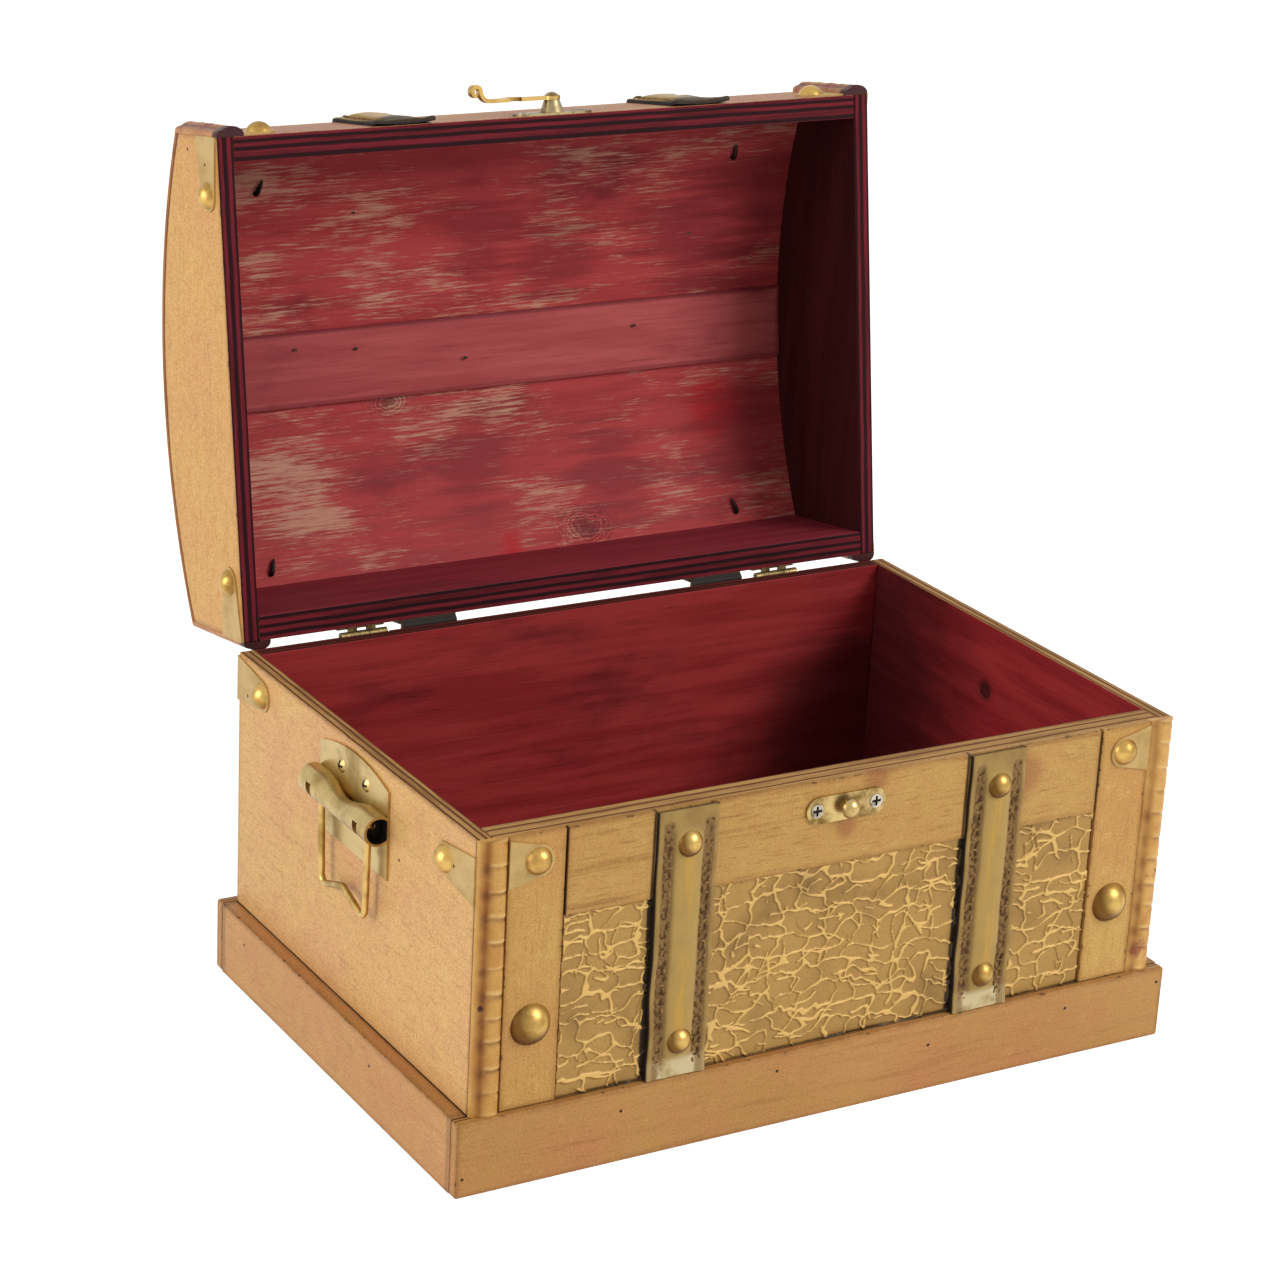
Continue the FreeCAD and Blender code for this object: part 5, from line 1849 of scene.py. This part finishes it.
@dataclass
class SmallNails:
    """Small nails in the boards and beads, listed by the board that each is driven into."""

    radius: float = 0.65
    rise: float = 0.12
    around: int = 10
    levels: int = 6
    plinth_face: float = 100.0
    iron: PlainDark = PlainDark(tint(48, 30, 20), tint(84, 56, 36), 0.6, 0.3)
    front: tuple[tuple[float, float], ...] = (
        (-147.5, 7.2), (-86.1, 19.8), (-22.3, 21.5), (43.0, 18.1), (104.7, 20.4), (147.3, 22.7)
    )
    end: tuple[tuple[float, float], ...] = ((75.0, 19.7), (-32.7, 19.3))
    panel: tuple[tuple[float, float], ...] = ((-39.6, 100.3),)
    plate: tuple[tuple[float, float], ...] = ((-81.0, 115.1), (86.0, 115.8))
    lid_end: tuple[tuple[float, float], ...] = ((-184.4, 28.0),)
    lid_plate: tuple[tuple[float, float], ...] = ((-179.6, 11.1),)
    batten: tuple[tuple[float, float], ...] = (
        (64.0, -98.0), (-62.0, -100.0), (-88.0, -102.0), (-14.0, -92.0)
    )
    dome: tuple[tuple[float, float], ...] = ((-64.0, -154.0), (90.0, -134.0))
    bead: Triple = (142.1, -98.0, 69.5)
    bead_facing: Triple = (0.74, -0.67, 0.0)
    bead_radius: float = 1.1
    bead_rise: float = 0.5

    def head(self, middle: Triple, axes: Sequence[Vector]) -> Mesh:
        """A nail's head, from its middle and its three half lengths."""
        return pebble(middle, axes, self.around, self.levels)

    def build(self) -> None:
        """Makes the nails."""
        heads = []
        for x, z in self.front:
            axes = (self.rise * FRONT, self.radius * RIGHT, self.radius * UP)
            heads.append(self.head((x, -self.plinth_face, z), axes))
            heads.append(self.head((-x, self.plinth_face, z), axes))
        faces = {"plinth_left_board": self.end, "left_panel": self.panel, "side_corner_plates": self.plate}
        for node, spots in faces.items():
            for side in (-1.0, 1.0):
                axes = (self.rise * side * RIGHT, self.radius * BACK, self.radius * UP)
                out = -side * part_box(node)[0].x / MM
                heads += [self.head((out, y, z), axes) for y, z in spots]
        for side in (-1.0, 1.0):
            out = Vector((side * self.bead_facing[0], *self.bead_facing[1:]))
            axes = (self.bead_rise * out, self.bead_radius * out.cross(UP), self.bead_radius * UP)
            heads.append(self.head((side * self.bead[0], *self.bead[1:]), axes))
        iron = self.iron.material("small_nail_iron")
        add_piece("plinth_nails", merge(heads), Body.CHEST, iron)
        face = Board.of("lid_crown_batten", True).low[2] / MM - PIN_Z
        places = [lid_point(x, along, face) for x, along in self.batten]
        places += [under_dome(x, along) for x, along in self.dome]
        axes = (self.rise * LID_UP, 1.5 * self.radius * RIGHT, self.radius * LID_ALONG)
        heads = [self.head(place, axes) for place in places]
        for node, spots in (("lid_left_end", self.lid_end), ("lid_end_plates", self.lid_plate)):
            for side in (-1.0, 1.0):
                axes = (self.rise * side * RIGHT, self.radius * LID_ALONG, self.radius * LID_UP)
                out = -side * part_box(node)[0].x / MM
                heads += [self.head(lid_point(out, along, up), axes) for along, up in spots]
        add_piece("lid_nails", merge(heads), Body.LID, iron)


@dataclass
class Fittings:
    """Brass nails, plates, handles, hinges and the clasp."""

    polished: Brass = Brass(tint(202, 164, 92), tint(142, 106, 52), 60.0, (0.30, 0.44))
    front_nail: Brass = Brass(
        # painted shade on the side of each nail turned from the upper right light
        tint(200, 164, 94), tint(150, 116, 58), 60.0, (0.30, 0.44), lit_from=(0.30, -0.86, 0.42)
    )
    plate: Brass = Brass(tint(192, 160, 98), tint(174, 140, 78), 70.0, (0.45, 0.58), 0.35)
    aged: Brass = Brass(tint(200, 166, 100), tint(150, 120, 62), 90.0, (0.26, 0.42))
    pale: Brass = Brass(tint(194, 168, 112), tint(150, 124, 70), 60.0, (0.28, 0.44))
    worn: Brass = Brass(tint(192, 166, 110), tint(116, 92, 48), 110.0, (0.28, 0.46))
    dull: Brass = Brass(tint(158, 140, 104), tint(92, 74, 48), 140.0, (0.34, 0.52))
    steel: Brass = Brass(tint(190, 182, 166), tint(120, 108, 88), 200.0, (0.34, 0.5))
    dark: Brass = Brass(tint(128, 112, 88), tint(66, 56, 44), 260.0, (0.34, 0.5))
    hinge: Brass = Brass(tint(126, 108, 70), tint(72, 60, 40), 160.0, (0.36, 0.5))
    # near-black painted shade for the inside of hollows
    hollow_shade: PlainDark = PlainDark(tint(20, 14, 10), tint(40, 28, 18), 0.8)
    barrel: Triple = (148.2, -5.0, 108.5)
    mouth: float = 4.72
    mouth_span: tuple[float, float] = (21.4, 26.95)
    head_span: float = 8.0
    wall_lean: float = 0.35
    recess_depth: float = 0.45
    floor_reach: float = 0.62
    recess_reach: float = 0.8
    by_finish: dict[str, tuple[str, ...]] = field(default_factory=lambda: {
        "polished": ("corner_nails", "lid_corner_nails", "dome_nails"),
        "front_nail": ("strap_studs", "stile_nails"),
        "plate": ("front_corner_plates", "side_corner_plates", "lid_end_plates", "lid_front_plates"),
        "aged": ("left_bail", "right_bail", "latch_hook"),
        "dull": ("hook_plate", "hook_rivet"),
        "pale": ("left_handle_plate", "right_handle_plate", "keeper_post"),
        "worn": ("keeper_plate", "handle_screws"),
        "hinge": (
            "left_hinge_lower_leaf",
            "right_hinge_lower_leaf",
            "left_hinge_upper_leaf",
            "right_hinge_upper_leaf",
            "hinge_pins",
        ),
        "steel": ("keeper_screws", "hook_screws"),
        "dark": ("lower_hinge_screws", "upper_hinge_screws"),
    })

    def dress(self) -> None:
        """Gives each fitting its metal, and paints shade into the mouths of the handle barrels and the
        screws' cross recesses.
        """
        for finish, nodes in self.by_finish.items():
            metal = getattr(self, finish).material(finish + "_brass")
            for node in nodes:
                dress(node, metal)
        # painted shade: faces deep in each handle barrel's open mouth are made near-black
        dark = self.hollow_shade.material("handle_hollow_shade")
        for side, way in (("left", -1.0), ("right", 1.0)):
            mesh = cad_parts["%s_handle_plate" % side].data
            mesh.materials.append(dark)
            for face in mesh.polygons:
                off = face.center / MM - Vector((way * self.barrel[0], self.barrel[1], self.barrel[2]))
                deep = self.mouth_span[0] < abs(off.y) < self.mouth_span[1]
                if deep and math.hypot(off.x, off.z) < self.mouth:
                    face.material_index = 1
        for node in ("keeper_screws", "hook_screws", "handle_screws"):
            self.sink(node, dark)

    def sink(self, node: str, dark: bpy.types.Material) -> None:
        """Paints shade into the cross recess of each screw head of a node.

        Args:
            node: the screws' node.
            dark: the near-black material painted as shade in the recess.
        """
        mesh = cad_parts[node].data
        mesh.materials.append(dark)
        heads: list[list[bpy.types.MeshPolygon]] = []
        for face in mesh.polygons:
            near = [head for head in heads if (head[0].center - face.center).length < self.head_span * MM]
            if near:
                near[0].append(face)
            else:
                heads.append([face])
        for head in heads:
            spots = [face.center / MM for face in head]
            low = Vector([min(spot[axis] for spot in spots) for axis in range(3)])
            high = Vector([max(spot[axis] for spot in spots) for axis in range(3)])
            middle = (low + high) / 2.0
            out = {
                "keeper_screws": FRONT,
                "hook_screws": -LID_ALONG,
                "handle_screws": RIGHT * math.copysign(1.0, middle.x),
            }[node]
            top = max(spot.dot(out) for spot in spots)
            reach = max(((spot - middle) - out * (spot - middle).dot(out)).length for spot in spots)
            for face, spot in zip(head, spots):
                off = spot - middle
                away = (off - out * off.dot(out)).length / reach
                wall = face.normal.dot(out) < self.wall_lean
                floor = top - spot.dot(out) > self.recess_depth and away < self.floor_reach
                if away < self.recess_reach and (wall or floor):
                    face.material_index = 1


@dataclass(frozen=True)
class Lamp:
    """A soft square lamp: where it hangs and how wide it is, in metres, and its power in watts."""

    name: str
    at: Triple
    size: float
    power: float


@dataclass
class Studio:
    """Floor, light and camera."""

    camera_at: Triple = (-642.518, -1016.270, 587.116)
    right: Triple = (0.86386, -0.50121, 0.05030)
    up: Triple = (0.13257, 0.32254, 0.93723)
    forward: Triple = (0.48597, 0.80297, -0.34507)
    lens: float = 97.495
    sensor: float = 36.0
    far: float = 50.0
    sky: float = 0.42
    floor_size: float = 8.0
    floor_grey: Colour = (0.82, 0.82, 0.82, 1.0)
    floor_glow: float = 0.68
    white: Colour = (1.0, 1.0, 1.0, 1.0)
    aim: Triple = (0.0, 0.0, 0.12)
    lamps: tuple[Lamp, ...] = (
        Lamp("key_lamp", (1.15, -1.50, 1.45), 1.0, 29.0),
        Lamp("left_lamp", (-1.9, 0.15, 0.70), 1.2, 19.0),
    )

    def camera(self) -> None:
        """Sets the camera up."""
        data = bpy.data.cameras.new("camera")
        data.sensor_width = self.sensor
        data.lens = self.lens
        data.clip_end = self.far
        camera = bpy.data.objects.new("camera", data)
        back = tuple(-part for part in self.forward)
        turn = Matrix((self.right, self.up, back)).transposed().to_4x4()
        camera.matrix_world = Matrix.Translation(Vector(self.camera_at) * MM) @ turn
        bpy.context.scene.collection.objects.link(camera)
        bpy.context.scene.camera = camera

    def hang(self, lamp: Lamp) -> None:
        """Hangs a lamp that points at the chest.

        Args:
            lamp: the lamp.
        """
        data = bpy.data.lights.new(lamp.name, "AREA")
        data.shape = "SQUARE"
        data.size = lamp.size
        data.energy = lamp.power
        thing = bpy.data.objects.new(lamp.name, data)
        thing.location = lamp.at
        thing.rotation_mode = "QUATERNION"
        thing.rotation_quaternion = (Vector(self.aim) - Vector(lamp.at)).to_track_quat("-Z", "Y")
        bpy.context.scene.collection.objects.link(thing)

    def shown(self, graph: Graph) -> bpy.types.NodeSocket:
        """Tells the rays that show the background from those that light the chest.

        Args:
            graph: the nodes that it is added to.

        Returns:
            1 for a ray that shows the background, and 0 for any other.
        """
        rays = graph.add("LightPath", {}).outputs
        seen = graph.math("MAXIMUM", rays["Is Camera Ray"], rays["Is Glossy Ray"])
        return graph.math("MAXIMUM", seen, rays["Is Transmission Ray"])

    def world(self) -> None:
        """Lights the scene from all round, with white behind it."""
        graph = Graph("studio", True)
        light = graph.add("Background", {"Color": self.white, "Strength": self.sky})
        white = graph.add("Background", {"Color": self.white})
        mixed = graph.add("MixShader", {0: self.shown(graph), 1: light.outputs[0], 2: white.outputs[0]})
        graph.add("OutputWorld", {"Surface": mixed.outputs[0]})
        bpy.context.scene.world = graph.owner

    def floor(self) -> None:
        """Lays a pale floor that goes white where the chest throws no shadow."""
        half = 0.5 * self.floor_size
        mesh = bpy.data.meshes.new("floor")
        corners = [(-half, -half, 0.0), (half, -half, 0.0), (half, half, 0.0), (-half, half, 0.0)]
        mesh.from_pydata(corners, [], [(0, 1, 2, 3)])
        floor = bpy.data.objects.new("floor", mesh)
        bpy.context.scene.collection.objects.link(floor)
        graph = Graph("pale_floor")
        matt = graph.add("BsdfDiffuse", {"Color": self.floor_grey})
        strength = graph.math("MULTIPLY", self.shown(graph), self.floor_glow)
        glow = graph.add("Emission", {"Strength": strength})
        both = graph.add("AddShader", {0: matt.outputs[0], 1: glow.outputs[0]})
        graph.add("OutputMaterial", {"Surface": both.outputs[0]})
        mesh.materials.append(graph.owner)

    def build(self) -> None:
        """Sets the whole studio up."""
        self.camera()
        self.world()
        self.floor()
        for lamp in self.lamps:
            self.hang(lamp)
        bpy.context.scene.view_settings.view_transform = "Standard"


def write_sizes() -> None:
    """Updates the view layer."""
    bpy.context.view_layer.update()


def main() -> None:
    """Builds every piece in order."""
    logging.basicConfig(level=logging.INFO)
    Plinth().dress()
    BoxShell().dress()
    FrontTrim().dress()
    EmbossedSheet().build()
    Beads().build()
    Straps().build()
    lid = Lid()
    lid.dress()
    lid.nail_tips()
    SmallNails().build()
    Fittings().dress()
    Studio().build()
    write_sizes()


if __name__ == "__main__":
    main()
